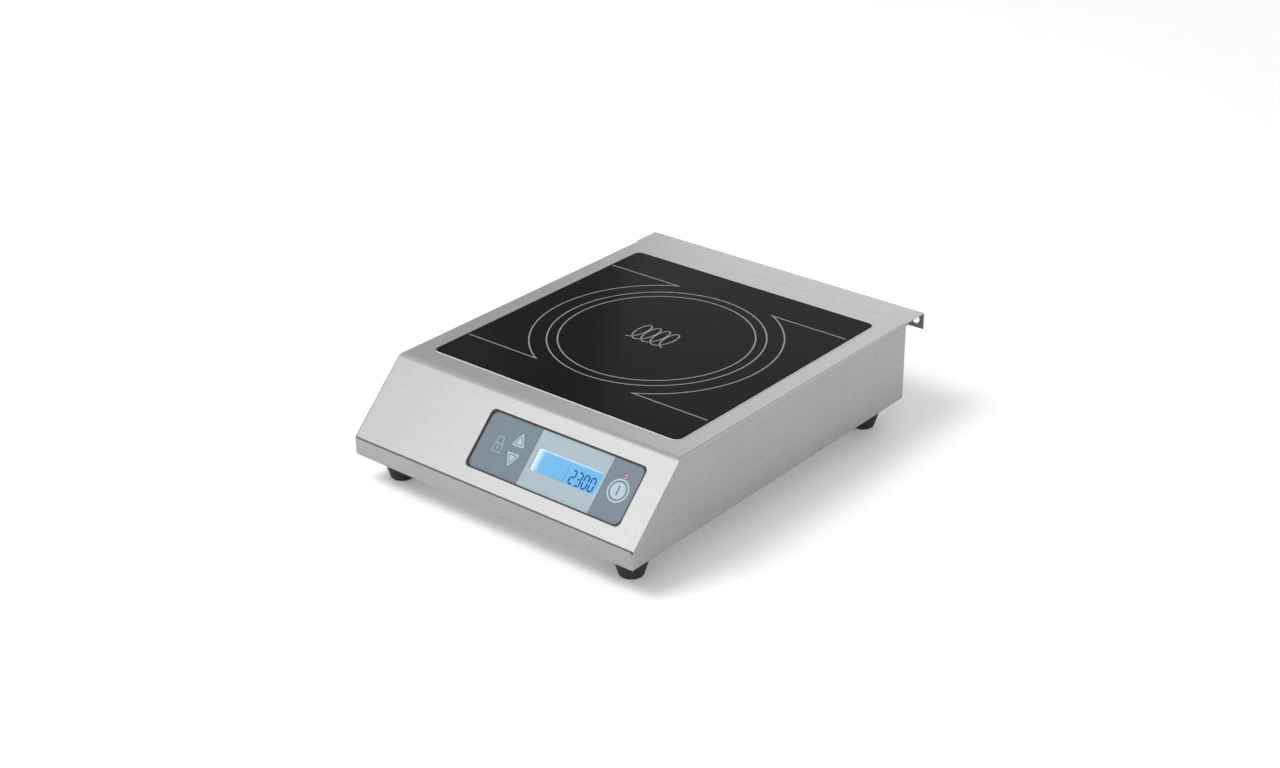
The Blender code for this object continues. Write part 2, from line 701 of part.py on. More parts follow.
def make_glass():
    """Glass plate, the silicone seal under its edge and the support ring that carries both."""
    edge = 0.6 * MM
    loops = [
        level(glass_outline(-edge), GLASS_UNDER),
        level(glass_outline(0.0), GLASS_UNDER + edge),
        level(glass_outline(0.0), GLASS_TOP - edge),
        level(glass_outline(-edge), GLASS_TOP),
    ]
    piece("glass_plate", loft(loops), "ceramic_glass")
    seal_low, seal_high = FRAME_TOP + FIT_GAP, GLASS_UNDER - FIT_GAP
    seal = [
        level(glass_outline(-2 * MM), seal_low),
        level(glass_outline(-2 * MM), seal_high),
        level(glass_outline(-12 * MM), seal_high),
        level(glass_outline(-12 * MM), seal_low),
    ]
    piece("glass_seal", loft(seal, closed=True), "silicone")
    low = FRAME_TOP - FRAME_THICKNESS
    rim = DECK_Z - SHEET - FIT_GAP
    inside = FRAME_SPREAD - FRAME_THICKNESS
    ring = [
        level(glass_outline(-FRAME_OVERLAP), low),
        level(glass_outline(FRAME_SPREAD), low),
        level(glass_outline(FRAME_SPREAD), rim),
        level(glass_outline(inside), rim),
        level(glass_outline(inside), FRAME_TOP),
        level(glass_outline(-FRAME_OVERLAP), FRAME_TOP),
    ]
    piece("glass_frame", loft(ring, closed=True), "zinc_steel")


# ================================ coil ===========================================================
def ring_shape(inner, outer, low, high, sides):
    """A flat ring with square edges."""
    return turned([(inner, low), (outer, low), (outer, high), (inner, high)], sides, closed=True)


def make_coil():
    """Mica sheet, winding, carrier, ferrite bars, sensor, springs and the tray under them."""
    place = (*COIL_CENTRE, 0.0)
    mica_low = MICA_TOP - MICA_THICKNESS
    hub_hole = SENSOR_RADIUS + 0.8 * MM
    mica = ring_shape(hub_hole, MICA_RADIUS, mica_low, MICA_TOP, 40)
    piece("insulation_sheet", mica, "mica", place)
    low = COIL_TOP - COIL_HEIGHT
    winding = [
        (COIL_INNER, low + 1 * MM),
        (COIL_INNER + 1 * MM, low),
        (COIL_OUTER - 1 * MM, low),
        (COIL_OUTER, low + 1 * MM),
        (COIL_OUTER, COIL_TOP - 1 * MM),
        (COIL_OUTER - 1 * MM, COIL_TOP),
        (COIL_INNER + 1 * MM, COIL_TOP),
        (COIL_INNER, COIL_TOP - 1 * MM),
    ]
    piece("coil_winding", turned(winding, 40, closed=True), "copper_litz", place)
    make_carrier(place, hub_hole)
    make_ferrites()
    flange = SENSOR_RADIUS + 3 * MM
    sensor = [
        (SENSOR_RADIUS - 1 * MM, CARRIER_UNDER - 6 * MM),
        (flange, CARRIER_UNDER - 5 * MM),
        (flange, CARRIER_UNDER - FIT_GAP),
        (SENSOR_RADIUS, CARRIER_UNDER - FIT_GAP),
        (SENSOR_RADIUS, GLASS_UNDER - 1.3 * MM),
        (SENSOR_RADIUS - 1 * MM, GLASS_UNDER - FIT_GAP),
    ]
    piece("temperature_sensor", turned(sensor, 20), "sensor_ceramic", place)
    make_tray(place)
    make_springs()
    make_leads()


def make_carrier(place, hub_hole):
    """The moulded disc under the winding, with a hub, lead hole and ribs beside each ferrite."""
    disc = ring_shape(hub_hole, CARRIER_RADIUS, CARRIER_UNDER, CARRIER_TOP, 40)
    carrier = piece("coil_carrier", disc, "carrier_plastic", place)
    ribs = bmesh.new()
    length, width, height = FERRITE_SIZE
    for i in range(FERRITE_COUNT):
        turn = Matrix.Rotation(2 * math.pi * i / FERRITE_COUNT, 2)
        for side in (-1, 1):
            y = side * (width / 2 + 1.4 * MM)
            rib = rectangle((length, 2 * MM), 0.3 * MM, (FERRITE_MID_RADIUS, y), 1)
            outline = [tuple(turn @ Vector(point)) for point in rib]
            low, high = CARRIER_UNDER - height, CARRIER_UNDER + 1 * MM
            add_loft(ribs, [level(outline, low), level(outline, high)])
    combine(carrier, "carrier_ribs", ribs, "UNION")
    spot = lead_spots()[0]
    hole = prism(circle(LEAD_RADIUS + 1 * MM, 12, spot), CARRIER_UNDER - 3 * MM, CARRIER_TOP + 3 * MM)
    combine(carrier, "carrier_lead_hole", hole)


def make_ferrites():
    """Six flat bars like spokes under the carrier."""
    length, width, height = FERRITE_SIZE
    top = CARRIER_UNDER - FIT_GAP
    for i in range(FERRITE_COUNT):
        low = (FERRITE_MID_RADIUS - length / 2, -width / 2, top - height)
        high = (FERRITE_MID_RADIUS + length / 2, width / 2, top)
        turn = 2 * math.pi * i / FERRITE_COUNT
        piece(f"ferrite_{i + 1}", block(low, high), "ferrite", (*COIL_CENTRE, 0.0), turn)


def lead_spots():
    """Where the inner and the outer coil lead pass through the tray, from the coil's centre."""
    inner = COIL_INNER - 5.5 * MM
    angle = math.radians(30)
    return (
        (-inner * math.cos(angle), -inner * math.sin(angle)),
        (-(CARRIER_RADIUS + 5 * MM), 0.0),
    )


def make_tray(place):
    """A folded aluminium channel that hangs under the glass frame and carries the coil."""
    top = FRAME_TOP - FRAME_THICKNESS - FIT_GAP
    face = [
        (-TRAY_FLANGE_X, top - TRAY_THICKNESS),
        (-TRAY_WALL_X, top - TRAY_THICKNESS),
        (-TRAY_WALL_X, TRAY_TOP - TRAY_THICKNESS),
        (TRAY_WALL_X, TRAY_TOP - TRAY_THICKNESS),
        (TRAY_WALL_X, top - TRAY_THICKNESS),
        (TRAY_FLANGE_X, top - TRAY_THICKNESS),
    ]
    outline = bent_sheet(face[::-1], TRAY_THICKNESS, 3 * MM)
    tray = piece("coil_tray", along_y(outline, -TRAY_LENGTH / 2, TRAY_LENGTH / 2), "aluminium", place)
    holes = [circle(LEAD_RADIUS + 1.5 * MM, 12, spot) for spot in lead_spots()]
    holes.append(circle(12 * MM, 20))
    low, high = TRAY_TOP - 5 * MM, TRAY_TOP + 5 * MM
    combine(tray, "tray_holes", prisms(holes, low, high))


def make_springs():
    """Three wire springs between the tray and the carrier."""
    low = TRAY_TOP + FIT_GAP + SPRING_WIRE_RADIUS
    high = CARRIER_UNDER - FIT_GAP - SPRING_WIRE_RADIUS
    steps = 12
    for i in range(SPRING_COUNT):
        angle = math.radians(30 + 120 * i)
        x = COIL_CENTRE[0] + SPRING_RING_RADIUS * math.cos(angle)
        y = COIL_CENTRE[1] + SPRING_RING_RADIUS * math.sin(angle)
        path = []
        for k in range(SPRING_TURNS * steps + 1):
            turn = 2 * math.pi * k / steps
            rise = (high - low) * k / (SPRING_TURNS * steps)
            path.append((SPRING_RADIUS * math.cos(turn), SPRING_RADIUS * math.sin(turn), low + rise))
        bm = tube(path, SPRING_WIRE_RADIUS, 4)
        piece(f"coil_spring_{i + 1}", bm, "screw_steel", (x, y, 0.0))


def make_leads():
    """The winding's two ends, led down through the tray to the power board."""
    inner, outer = lead_spots()
    start = COIL_TOP - COIL_HEIGHT / 2
    cx, cy = COIL_CENTRE
    floor = PART_BASE
    x, y = cx + inner[0], cy + inner[1]
    inner_route = [
        (x, y, start),
        (x, y, 84 * MM),
        (x, y, 72 * MM),
        (x - 2 * MM, y + 2 * MM, 60 * MM),
        (x - 6 * MM, y + 6 * MM, 48 * MM),
        (x - 6 * MM, y + 7 * MM, floor),
    ]
    piece("coil_lead_inner", tube(smooth_path(inner_route, 3), LEAD_RADIUS, 8), "lead_jacket")
    x, y = cx + outer[0], cy + outer[1]
    outer_route = [
        (x, y, start),
        (x, y, 84 * MM),
        (x, y, 72 * MM),
        (x + 6 * MM, y, 60 * MM),
        (x + 30 * MM, y, 51 * MM),
        (x + 56 * MM, y, 47 * MM),
        (x + 60 * MM, y, floor),
    ]
    piece("coil_lead_outer", tube(smooth_path(outer_route, 3), LEAD_RADIUS, 8), "lead_jacket")


# ================================ power electronics ==============================================
def make_power_board():
    """The board and the parts that stand on it."""
    low = (*BOARD_LOW, BOARD_TOP - BOARD_THICKNESS)
    piece("power_board", block(low, (*BOARD_HIGH, BOARD_TOP)), "board_green")
    make_heat_sink()
    flank = SINK_LOW[0] - FIT_GAP
    for name, y, width in (("igbt", 10 * MM, 16 * MM), ("bridge_rectifier", 60 * MM, 25 * MM)):
        body = block((-4.8 * MM, -width / 2, 4 * MM), (0.0, width / 2, 25 * MM))
        device = piece(name, body, "chip_black", (flank, y, PART_BASE))
        legs = bmesh.new()
        for i in (-1, 0, 1):
            leg = rectangle((1.2 * MM, 1.6 * MM), 0.2 * MM, (-2.4 * MM, i * width / 4), 1)
            add_loft(legs, [level(leg, 0.0), level(leg, 5 * MM)])
        combine(device, f"{name}_legs", legs, "UNION")
    for name, centre, size in (
        ("resonant_capacitor", (8 * MM, 66 * MM), (26 * MM, 42 * MM, 34 * MM)),
        ("dc_link_capacitor", (8 * MM, 108 * MM), (22 * MM, 32 * MM, 28 * MM)),
    ):
        outline = rectangle(size[:2], 1.5 * MM, centre, 2)
        piece(name, prism(outline, PART_BASE, PART_BASE + size[2]), "capacitor_grey")
    choke = [
        (9 * MM, 2 * MM),
        (11 * MM, 0.0),
        (20 * MM, 0.0),
        (22 * MM, 2 * MM),
        (22 * MM, 14 * MM),
        (20 * MM, 16 * MM),
        (11 * MM, 16 * MM),
        (9 * MM, 14 * MM),
    ]
    place = (-36 * MM, 100 * MM, PART_BASE)
    piece("filter_choke", turned(choke, 24, closed=True), "choke_green", place)
    base = BASE_TOP + FIT_GAP
    terminal = block((-118 * MM, 118 * MM, base), (-82 * MM, 140 * MM, base + 20 * MM))
    block_piece = piece("mains_terminal", terminal, "terminal_nylon")
    wells = [circle(3.4 * MM, 12, ((-100 + i * 11) * MM, 129 * MM)) for i in (-1, 0, 1)]
    combine(block_piece, "terminal_wells", prisms(wells, base + 8 * MM, base + 25 * MM))


def make_heat_sink():
    """An extruded comb of fins with a thick flank for the power devices."""
    pitch = (SINK_HIGH[0] - SINK_LOW[0] - SINK_FIN) / (SINK_FINS - 1)
    top = PART_BASE + SINK_HEIGHT
    floor = PART_BASE + SINK_BASE
    outline = [(SINK_LOW[0], PART_BASE), (SINK_HIGH[0], PART_BASE)]
    for i in reversed(range(SINK_FINS)):
        left = SINK_LOW[0] + i * pitch
        right = left + SINK_FIN + (3 * MM if i == 0 else 0.0)
        ends = [(right, floor), (right, top), (left, top), (left, floor)]
        if i == SINK_FINS - 1:
            ends = ends[1:]
        if i == 0:
            ends = ends[:-1]
        outline += ends
    piece("heat_sink", along_y(outline, SINK_LOW[1], SINK_HIGH[1]), "aluminium")


def make_fan():
    """A flat axial fan over the intake: a square frame, and the rotor on its shaft."""
    place = (*FAN_CENTRE, 0.0)
    top = FAN_BASE + FAN_HEIGHT
    outer = rectangle((FAN_SIZE, FAN_SIZE), 5 * MM, steps=4)
    frame = piece("fan_frame", prism(outer, FAN_BASE, top), "fan_plastic", place)
    motor_top = FAN_BASE + 2.4 * MM
    air = circle(FAN_BORE, 32)
    combine(frame, "fan_bore", prism(air, motor_top, top + 2 * MM))
    spacing = FAN_HOLE_SPACING / 2
    corners = [(x, y) for x in (-spacing, spacing) for y in (-spacing, spacing)]
    screw_holes = [circle(2.2 * MM, 10, corner) for corner in corners]
    combine(frame, "fan_screw_holes", prisms(screw_holes, FAN_BASE - 2 * MM, top + 2 * MM))
    openings = [circle(FAN_SHAFT + 0.12 * MM, 16)]
    strut = 2.5 * MM
    steps = 8
    for quarter in range(4):
        start = math.pi / 2 * quarter + math.asin(strut / FAN_HUB)
        end = math.pi / 2 * (quarter + 1) - math.asin(strut / FAN_HUB)
        arc = [start + (end - start) * k / steps for k in range(steps + 1)]
        window = [(FAN_BORE * math.cos(a), FAN_BORE * math.sin(a)) for a in arc]
        window += [(FAN_HUB * math.cos(a), FAN_HUB * math.sin(a)) for a in arc[::-1]]
        openings.append(window)
    combine(frame, "fan_motor_plate", prisms(openings, FAN_BASE - 2 * MM, motor_top + 1 * MM))
    make_rotor(place, motor_top + 0.6 * MM, top - 1 * MM)


def make_rotor(place, low, high):
    """Hub, swept blades and shaft, turning together."""
    hub = [
        (FAN_SHAFT, FAN_BASE + 0.4 * MM),
        (FAN_SHAFT, low),
        (FAN_HUB - 0.5 * MM, low),
        (FAN_HUB, low + 1 * MM),
        (FAN_HUB, high - 1.5 * MM),
        (FAN_HUB - 1.5 * MM, high),
    ]
    shape = turned(hub, 32)
    rotor = piece("fan_rotor", shape, "fan_plastic", place)
    blades = bmesh.new()
    middle = (low + high) / 2
    for i in range(FAN_BLADES):
        turn = 2 * math.pi * i / FAN_BLADES
        loops = []
        for radius, reach, pitch in ((FAN_HUB - 1 * MM, 8, 48), (26 * MM, 11, 38), (FAN_TIP, 14, 30)):
            tilt = math.radians(pitch)
            half = reach * MM
            run = half * math.cos(tilt)
            rise = min(half * math.sin(tilt), (high - low) / 2 - 1 * MM)
            corners = [
                (-run, -rise),
                (-run + 0.4 * MM, -rise - 0.4 * MM),
                (run, rise - 1.2 * MM),
                (run, rise),
            ]
            loop = []
            for across, up in corners:
                angle = turn + across / radius
                loop.append((radius * math.cos(angle), radius * math.sin(angle), middle + up))
            loops.append(loop)
        add_loft(blades, loops)
    combine(rotor, "rotor_blades", blades, "UNION")


# ================================ control panel ==================================================
def arrow(base, direction, spread=0.0):
    """A triangle that points up or down the slope, with its corners rounded."""
    tip = base + direction * ARROW_HEIGHT
    corners = [
        (ARROW_KEY_X - ARROW_HALF_WIDTH, base),
        (ARROW_KEY_X + ARROW_HALF_WIDTH, base),
        (ARROW_KEY_X, tip),
    ]
    if direction < 0:
        corners.reverse()
    return rounded(moved(corners, spread) if spread else corners, ARROW_CORNER + spread, 3)


def key_outlines(spread):
    """Each key's outline, made larger all round by spread, and its centre."""
    lock_size = tuple(side + 2 * spread for side in LOCK_KEY_SIZE)
    up_middle = (ARROW_KEY_X, UP_KEY_BASE + ARROW_HEIGHT / 3)
    down_middle = (ARROW_KEY_X, DOWN_KEY_BASE - ARROW_HEIGHT / 3)
    return {
        "key_power": (circle(POWER_KEY_RADIUS + spread, 32, POWER_KEY_CENTRE), POWER_KEY_CENTRE),
        "key_up": (arrow(UP_KEY_BASE, 1, spread), up_middle),
        "key_down": (arrow(DOWN_KEY_BASE, -1, spread), down_middle),
        "key_lock": (rectangle(lock_size, 3 * MM + spread, LOCK_KEY_CENTRE, 3), LOCK_KEY_CENTRE),
    }


def make_panel(slope):
    """Film, its carrier, the keys and display, and the board with the switches behind them."""
    size = tuple(side + 2 * FILM_OVERLAP for side in WINDOW_SIZE)
    outline = rectangle(size, WINDOW_CORNER, WINDOW_CENTRE, 4)
    film = piece("panel_overlay", prism(outline, FILM_UNDER, FILM_TOP), "panel_film", parent=slope)
    openings = [shape for shape, _ in key_outlines(KEY_GAP).values()]
    openings.append(rectangle(DISPLAY_SIZE, 1 * MM, DISPLAY_CENTRE, 2))
    openings.append(circle(LED_RADIUS + 0.3 * MM, 16, LED_CENTRE))
    combine(film, "film_openings", prisms(openings, FILM_UNDER - 1 * MM, FILM_TOP + 1 * MM))

    carrier_shape = prism(outline, CARRIER_PLATE_UNDER, CARRIER_PLATE_TOP)
    carrier = piece("panel_carrier", carrier_shape, "carrier_plastic", parent=slope)
    openings = [shape for shape, _ in key_outlines(0.6 * MM).values()]
    window = tuple(side + 2 * DISPLAY_EDGE for side in DISPLAY_SIZE)
    openings.append(rectangle(window, 1.5 * MM, DISPLAY_CENTRE, 2))
    openings.append(circle(LED_RADIUS + 0.6 * MM, 16, LED_CENTRE))
    low, high = CARRIER_PLATE_UNDER - 1 * MM, CARRIER_PLATE_TOP + 1 * MM
    combine(carrier, "carrier_openings", prisms(openings, low, high))

    pane = tuple(side - 2 * FIT_GAP for side in window)
    shape = prism(rectangle(pane, 1.2 * MM, DISPLAY_CENTRE, 2), DISPLAY_UNDER, CARRIER_PLATE_TOP)
    piece("display_window", shape, "display_clear", parent=slope)
    low, high = CONTROL_BOARD_TOP + FIT_GAP, MODULE_TOP
    shape = prism(rectangle(MODULE_SIZE, 1 * MM, DISPLAY_CENTRE, 1), low, high)
    piece("lcd_module", shape, "lcd_blue", parent=slope)
    make_control_board(slope)
    make_keys(slope)
    led = [
        (LED_RADIUS, CONTROL_BOARD_TOP + FIT_GAP),
        (LED_RADIUS, FILM_TOP - 1.2 * MM),
        (LED_RADIUS * 0.75, FILM_TOP - 0.5 * MM),
        (LED_RADIUS * 0.3, FILM_TOP - 0.15 * MM),
    ]
    piece("status_led", turned(led, 16), "led_red", (*LED_CENTRE, 0.0), parent=slope)


def make_control_board(slope):
    """The board behind the panel, with a switch under each key."""
    thickness = BOARD_THICKNESS
    outline = rectangle(CONTROL_BOARD_SIZE, 1 * MM, WINDOW_CENTRE, 1)
    shape = prism(outline, CONTROL_BOARD_TOP - thickness, CONTROL_BOARD_TOP)
    board = piece("control_board", shape, "board_green", parent=slope)
    side = (SWITCH_SIZE, SWITCH_SIZE)
    switches = [rectangle(side, 0.5 * MM, middle, 1) for _, middle in key_outlines(0.0).values()]
    low = CONTROL_BOARD_TOP - thickness / 2
    combine(board, "board_switches", prisms(switches, low, SWITCH_TOP), "UNION")


def make_keys(slope):
    """Each key is a pad level with the film, on a stem that reaches to its switch."""
    for name, (shape, middle) in key_outlines(0.0).items():
        outline = [(x - middle[0], y - middle[1]) for x, y in shape]
        pad = prism(outline, FILM_UNDER - 0.4 * MM, FILM_TOP)
        key = piece(name, pad, "panel_film", (*middle, 0.0), parent=slope)
        stem = prism(circle(KEY_STEM_RADIUS, 12), KEY_STEM_END, FILM_UNDER)
        combine(key, f"{name}_stem", stem, "UNION")


def make_ribbon(slope):
    """The flat cable from the control board's back to the power board's front edge."""
    thickness = 1.0 * MM
    width = 16 * MM
    x = -14 * MM
    back = CONTROL_BOARD_TOP - BOARD_THICKNESS - FIT_GAP
    socket = slope.matrix_world @ Vector((0.0, 34 * MM, back))
    clear = slope.matrix_world @ Vector((0.0, 34 * MM, back - 7 * MM))
    route = [
        (0.0, socket.y, socket.z),
        (0.0, clear.y, clear.z),
        (0.0, -168 * MM, 44 * MM),
        (0.0, -158 * MM, 35 * MM),
        (0.0, -140 * MM, 31 * MM),
        (0.0, -90 * MM, 31 * MM),
        (0.0, -50 * MM, 33 * MM),
        (0.0, -34 * MM, 41 * MM),
        (0.0, -24 * MM, 44 * MM),
        (0.0, -19 * MM, PART_BASE),
    ]
    middle = [(point.y, point.z) for point in smooth_path(route, 4)]
    upper = moved(middle, -thickness / 2, closed=False)
    lower = moved(middle, thickness / 2, closed=False)
    piece("ribbon_cable", along_x(upper + lower[::-1], x - width / 2, x + width / 2), "ribbon_grey")


def main():
    """Builds every piece in its place."""
    clear_scene()
    origin = Matrix.Translation((0.0, FRONT_Y, FOLD_Z))
    slope = empty("slope_frame", origin @ Matrix.Rotation(SLOPE_ANGLE, 4, "X"))
    bpy.context.view_layer.update()
    make_housing(slope)
    make_rear_panel()
    make_base_plate()
    make_gland()
    make_feet()
    make_screws()
    make_glass()
    make_coil()
    make_power_board()
    make_fan()
    make_panel(slope)
    make_ribbon(slope)


main()
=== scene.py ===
"""The looks of a countertop induction hob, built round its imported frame.

Units are metres, +Z is up and the sloped control panel faces -Y. Each sub-assembly is a class
that takes its places from the frame, builds its meshes and dresses them in procedural finishes.
"""

import json
import logging
import math
from dataclasses import dataclass
from enum import Enum
from typing import Any, Iterable, Optional, Sequence, Union

import bmesh
import bpy
from mathutils import Matrix, Vector


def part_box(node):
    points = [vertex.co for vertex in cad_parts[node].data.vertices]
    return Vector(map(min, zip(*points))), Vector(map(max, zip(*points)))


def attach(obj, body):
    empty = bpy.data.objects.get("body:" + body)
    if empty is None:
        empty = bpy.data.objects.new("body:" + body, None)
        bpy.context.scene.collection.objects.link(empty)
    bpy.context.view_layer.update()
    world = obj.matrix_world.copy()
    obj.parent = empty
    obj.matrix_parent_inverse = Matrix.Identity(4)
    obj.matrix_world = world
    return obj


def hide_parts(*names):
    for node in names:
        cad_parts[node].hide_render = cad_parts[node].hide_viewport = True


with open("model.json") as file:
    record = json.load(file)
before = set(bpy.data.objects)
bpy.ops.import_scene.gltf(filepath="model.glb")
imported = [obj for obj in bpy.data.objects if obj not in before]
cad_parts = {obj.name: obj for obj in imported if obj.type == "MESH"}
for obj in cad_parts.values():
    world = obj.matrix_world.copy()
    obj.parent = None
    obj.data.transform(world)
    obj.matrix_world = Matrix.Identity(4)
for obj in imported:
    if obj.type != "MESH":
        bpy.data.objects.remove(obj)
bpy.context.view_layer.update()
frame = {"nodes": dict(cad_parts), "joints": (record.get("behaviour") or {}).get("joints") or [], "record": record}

MM = 0.001
BODY = "body"
LOG = logging.getLogger("hob")

Point2 = tuple[float, float]
Outline = list[Point2]
Loops = list[list[tuple[float, float, float]]]


# ================================ node trees =====================================================
class Value:
    """A number in a shader: a socket on which Python's operators add Math nodes."""

    def __init__(self, graph: "Graph", socket: bpy.types.NodeSocket) -> None:
        """Wraps one socket of a graph."""
        self.graph = graph
        self.socket = socket

    def _math(self, operation: str, first: Any, second: Any = None) -> "Value":
        """Adds one Math node.

        Args:
            operation: the node's operation.
            first: a value, socket or number.
            second: the second one, where the operation has two.

        Returns:
            The node's result.
        """
        inputs = {0: first} if second is None else {0: first, 1: second}
        node = self.graph.add("ShaderNodeMath", {"operation": operation}, inputs)
        return Value(self.graph, node.outputs[0])

    def __add__(self, other: Any) -> "Value":
        """This plus other."""
        return self._math("ADD", self, other)

    def __radd__(self, other: Any) -> "Value":
        """Other plus this."""
        return self._math("ADD", other, self)

    def __sub__(self, other: Any) -> "Value":
        """This less other."""
        return self._math("SUBTRACT", self, other)

    def __rsub__(self, other: Any) -> "Value":
        """Other less this."""
        return self._math("SUBTRACT", other, self)

    def __mul__(self, other: Any) -> "Value":
        """This times other."""
        return self._math("MULTIPLY", self, other)

    def __rmul__(self, other: Any) -> "Value":
        """Other times this."""
        return self._math("MULTIPLY", other, self)

    def __truediv__(self, other: Any) -> "Value":
        """This over other."""
        return self._math("DIVIDE", self, other)

    def __rtruediv__(self, other: Any) -> "Value":
        """Other over this."""
        return self._math("DIVIDE", other, self)

    def above(self, other: Any) -> "Value":
        """1 where this is greater than other, else 0."""
        return self._math("GREATER_THAN", self, other)


class Graph:
    """A node tree that is filled by calls."""

    def __init__(self, tree: bpy.types.NodeTree) -> None:
        """Starts on a tree."""
        self.tree = tree

    def add(
        self,
        kind: str,
        settings: Optional[dict[str, Any]] = None,
        inputs: Optional[dict[Union[str, int], Any]] = None,
    ) -> bpy.types.Node:
        """Adds a node.

        Args:
            kind: the node's type.
            settings: its properties, set first.
            inputs: values, sockets, nodes or Values for its sockets, by name or number.

        Returns:
            The new node.
        """
        node = self.tree.nodes.new(kind)
        for name, value in (settings or {}).items():
            setattr(node, name, value)
        for name, value in (inputs or {}).items():
            self.feed(node.inputs[name], value)
        return node

    def feed(self, socket: bpy.types.NodeSocket, value: Any) -> None:
        """Links or sets one input socket."""
        if isinstance(value, Value):
            value = value.socket
        if isinstance(value, bpy.types.Node):
            value = value.outputs[0]
        if isinstance(value, bpy.types.NodeSocket):
            self.tree.links.new(value, socket)
        else:
            socket.default_value = value


# ================================ finishes =======================================================
class Pattern(Enum):
    """What a finish shows close up."""

    BRUSHED_X = "brushed along X"
    BRUSHED_Y = "brushed along Y"
    SATIN = "fine even grain"
    SPANGLE = "zinc crystals"
    TRACES = "circuit tracks"
    STRANDS = "twisted strands"


@dataclass(frozen=True)
class Finish:
    """One material.

    Attributes:
        name: the material's name.
        colour: base colour, linear.
        roughness: middle roughness.
        metallic: 0 or 1.
        pattern: the fine structure.
        grain: size of the pattern, in metres.
        contrast: how far the colour varies, as a share.
        relief: height of the bump, in metres.
        specular: the shader's specular level.
        coat: clear coat weight.
        glow: emission strength in the base colour.
        alpha: below 1 for a clear piece.
    """

    name: str
    colour: tuple[float, float, float]
    roughness: float = 0.5
    metallic: float = 0.0
    pattern: Pattern = Pattern.SATIN
    grain: float = 0.0006
    contrast: float = 0.06
    relief: float = 0.00001
    specular: float = 0.5
    coat: float = 0.0
    glow: float = 0.0
    alpha: float = 1.0

    def material(self) -> bpy.types.Material:
        """Returns the finish's material, made at the first call."""
        found = bpy.data.materials.get(self.name)
        if found:
            return found
        made = bpy.data.materials.new(self.name)
        made.use_nodes = True
        graph = Graph(made.node_tree)
        shader = made.node_tree.nodes["Principled BSDF"]
        fine, broad = self._fields(graph)
        shade = 1.0 + (fine - 0.5) * (2 * self.contrast) + (broad - 0.5) * self.contrast
        tint = graph.add(
            "ShaderNodeVectorMath",
            {"operation": "SCALE"},
            {0: self.colour, "Scale": shade},
        )
        graph.feed(shader.inputs["Base Color"], tint)
        rough = self.roughness * (1.0 + (fine - 0.5) * 0.3 + (broad - 0.5) * 0.25)
        graph.feed(shader.inputs["Roughness"], rough)
        bump = graph.add(
            "ShaderNodeBump",
            {},
            {"Strength": 0.6, "Distance": self.relief, "Height": fine},
        )
        graph.feed(shader.inputs["Normal"], bump)
        for name, value in (
            ("Metallic", self.metallic),
            ("Specular IOR Level", self.specular),
            ("Coat Weight", self.coat),
            ("Alpha", self.alpha),
        ):
            shader.inputs[name].default_value = value
        if self.glow:
            shader.inputs["Emission Color"].default_value = (*self.colour, 1.0)
            shader.inputs["Emission Strength"].default_value = self.glow
        return made

    def _fields(self, graph: Graph) -> tuple[Value, Value]:
        """Returns the fine pattern and a broad unevenness, both around 0.5."""
        place = graph.add("ShaderNodeTexCoord").outputs["Object"]
        broad = self._noise(graph, place, 0.05, (1, 1, 1), 2.0)
        if self.pattern is Pattern.BRUSHED_X:
            return self._noise(graph, place, self.grain, (0.006, 1, 1), 3.0), broad
        if self.pattern is Pattern.BRUSHED_Y:
            return self._noise(graph, place, self.grain, (1, 0.006, 1), 3.0), broad
        if self.pattern is Pattern.SPANGLE:
            cells = graph.add(
                "ShaderNodeTexVoronoi", {}, {"Vector": place, "Scale": 1 / self.grain}
            )
            return Value(graph, cells.outputs["Color"]) * 1.0, broad
        if self.pattern is Pattern.TRACES:
            cells = graph.add(
                "ShaderNodeTexVoronoi",
                {"feature": "DISTANCE_TO_EDGE"},
                {"Vector": place, "Scale": 1 / self.grain},
            )
            return Value(graph, cells.outputs["Distance"]).above(0.12), broad
        if self.pattern is Pattern.STRANDS:
            wave = graph.add(
                "ShaderNodeTexWave",
                {"wave_type": "BANDS", "bands_direction": "DIAGONAL"},
                {"Vector": place, "Scale": 0.3 / self.grain, "Distortion": 0.6},
            )
            return Value(graph, wave.outputs["Fac"]), broad
        return self._noise(graph, place, self.grain, (1, 1, 1), 2.0), broad

    @staticmethod
    def _noise(
        graph: Graph,
        place: bpy.types.NodeSocket,
        size: float,
        squeeze: tuple[float, float, float],
        detail: float,
    ) -> Value:
        """Noise whose grains are size across, drawn out along an axis by a small squeeze."""
        scaled = graph.add(
            "ShaderNodeMapping", {}, {"Vector": place, "Scale": Vector(squeeze) / size}
        )
        noise = graph.add(
            "ShaderNodeTexNoise", {}, {"Vector": scaled, "Scale": 1.0, "Detail": detail}
        )
        return Value(graph, noise.outputs[0])


STEEL = (0.35, 0.35, 0.348)
STEEL_ACROSS = Finish("steel_across", STEEL, 0.33, 1.0, Pattern.BRUSHED_X, 0.0007, 0.13, 5e-6)
STEEL_ALONG = Finish("steel_along", STEEL, 0.33, 1.0, Pattern.BRUSHED_Y, 0.0007, 0.13, 5e-6)
ZINC_SHEET = Finish("zinc_sheet", (0.5, 0.51, 0.52), 0.45, 1.0, Pattern.SPANGLE, 0.006, 0.08, 2e-6)
SCREW_STEEL = Finish("screw_plating", (0.55, 0.55, 0.57), 0.28, 1.0, grain=0.0004)
BLACK_GLASS = Finish(
    "black_glass",
    (0.0068, 0.0068, 0.0076),
    0.12,
    grain=0.0015,
    contrast=0.1,
    relief=2e-7,
    specular=0.014,
)
# Painted shade: the dark grey of the strip in the joint line's groove stands in for the shadow in the gap between
# slope and apron.
JOINT_PAINTED_SHADE = Finish("joint_grey", (0.115, 0.115, 0.115), 0.6, contrast=0.1)
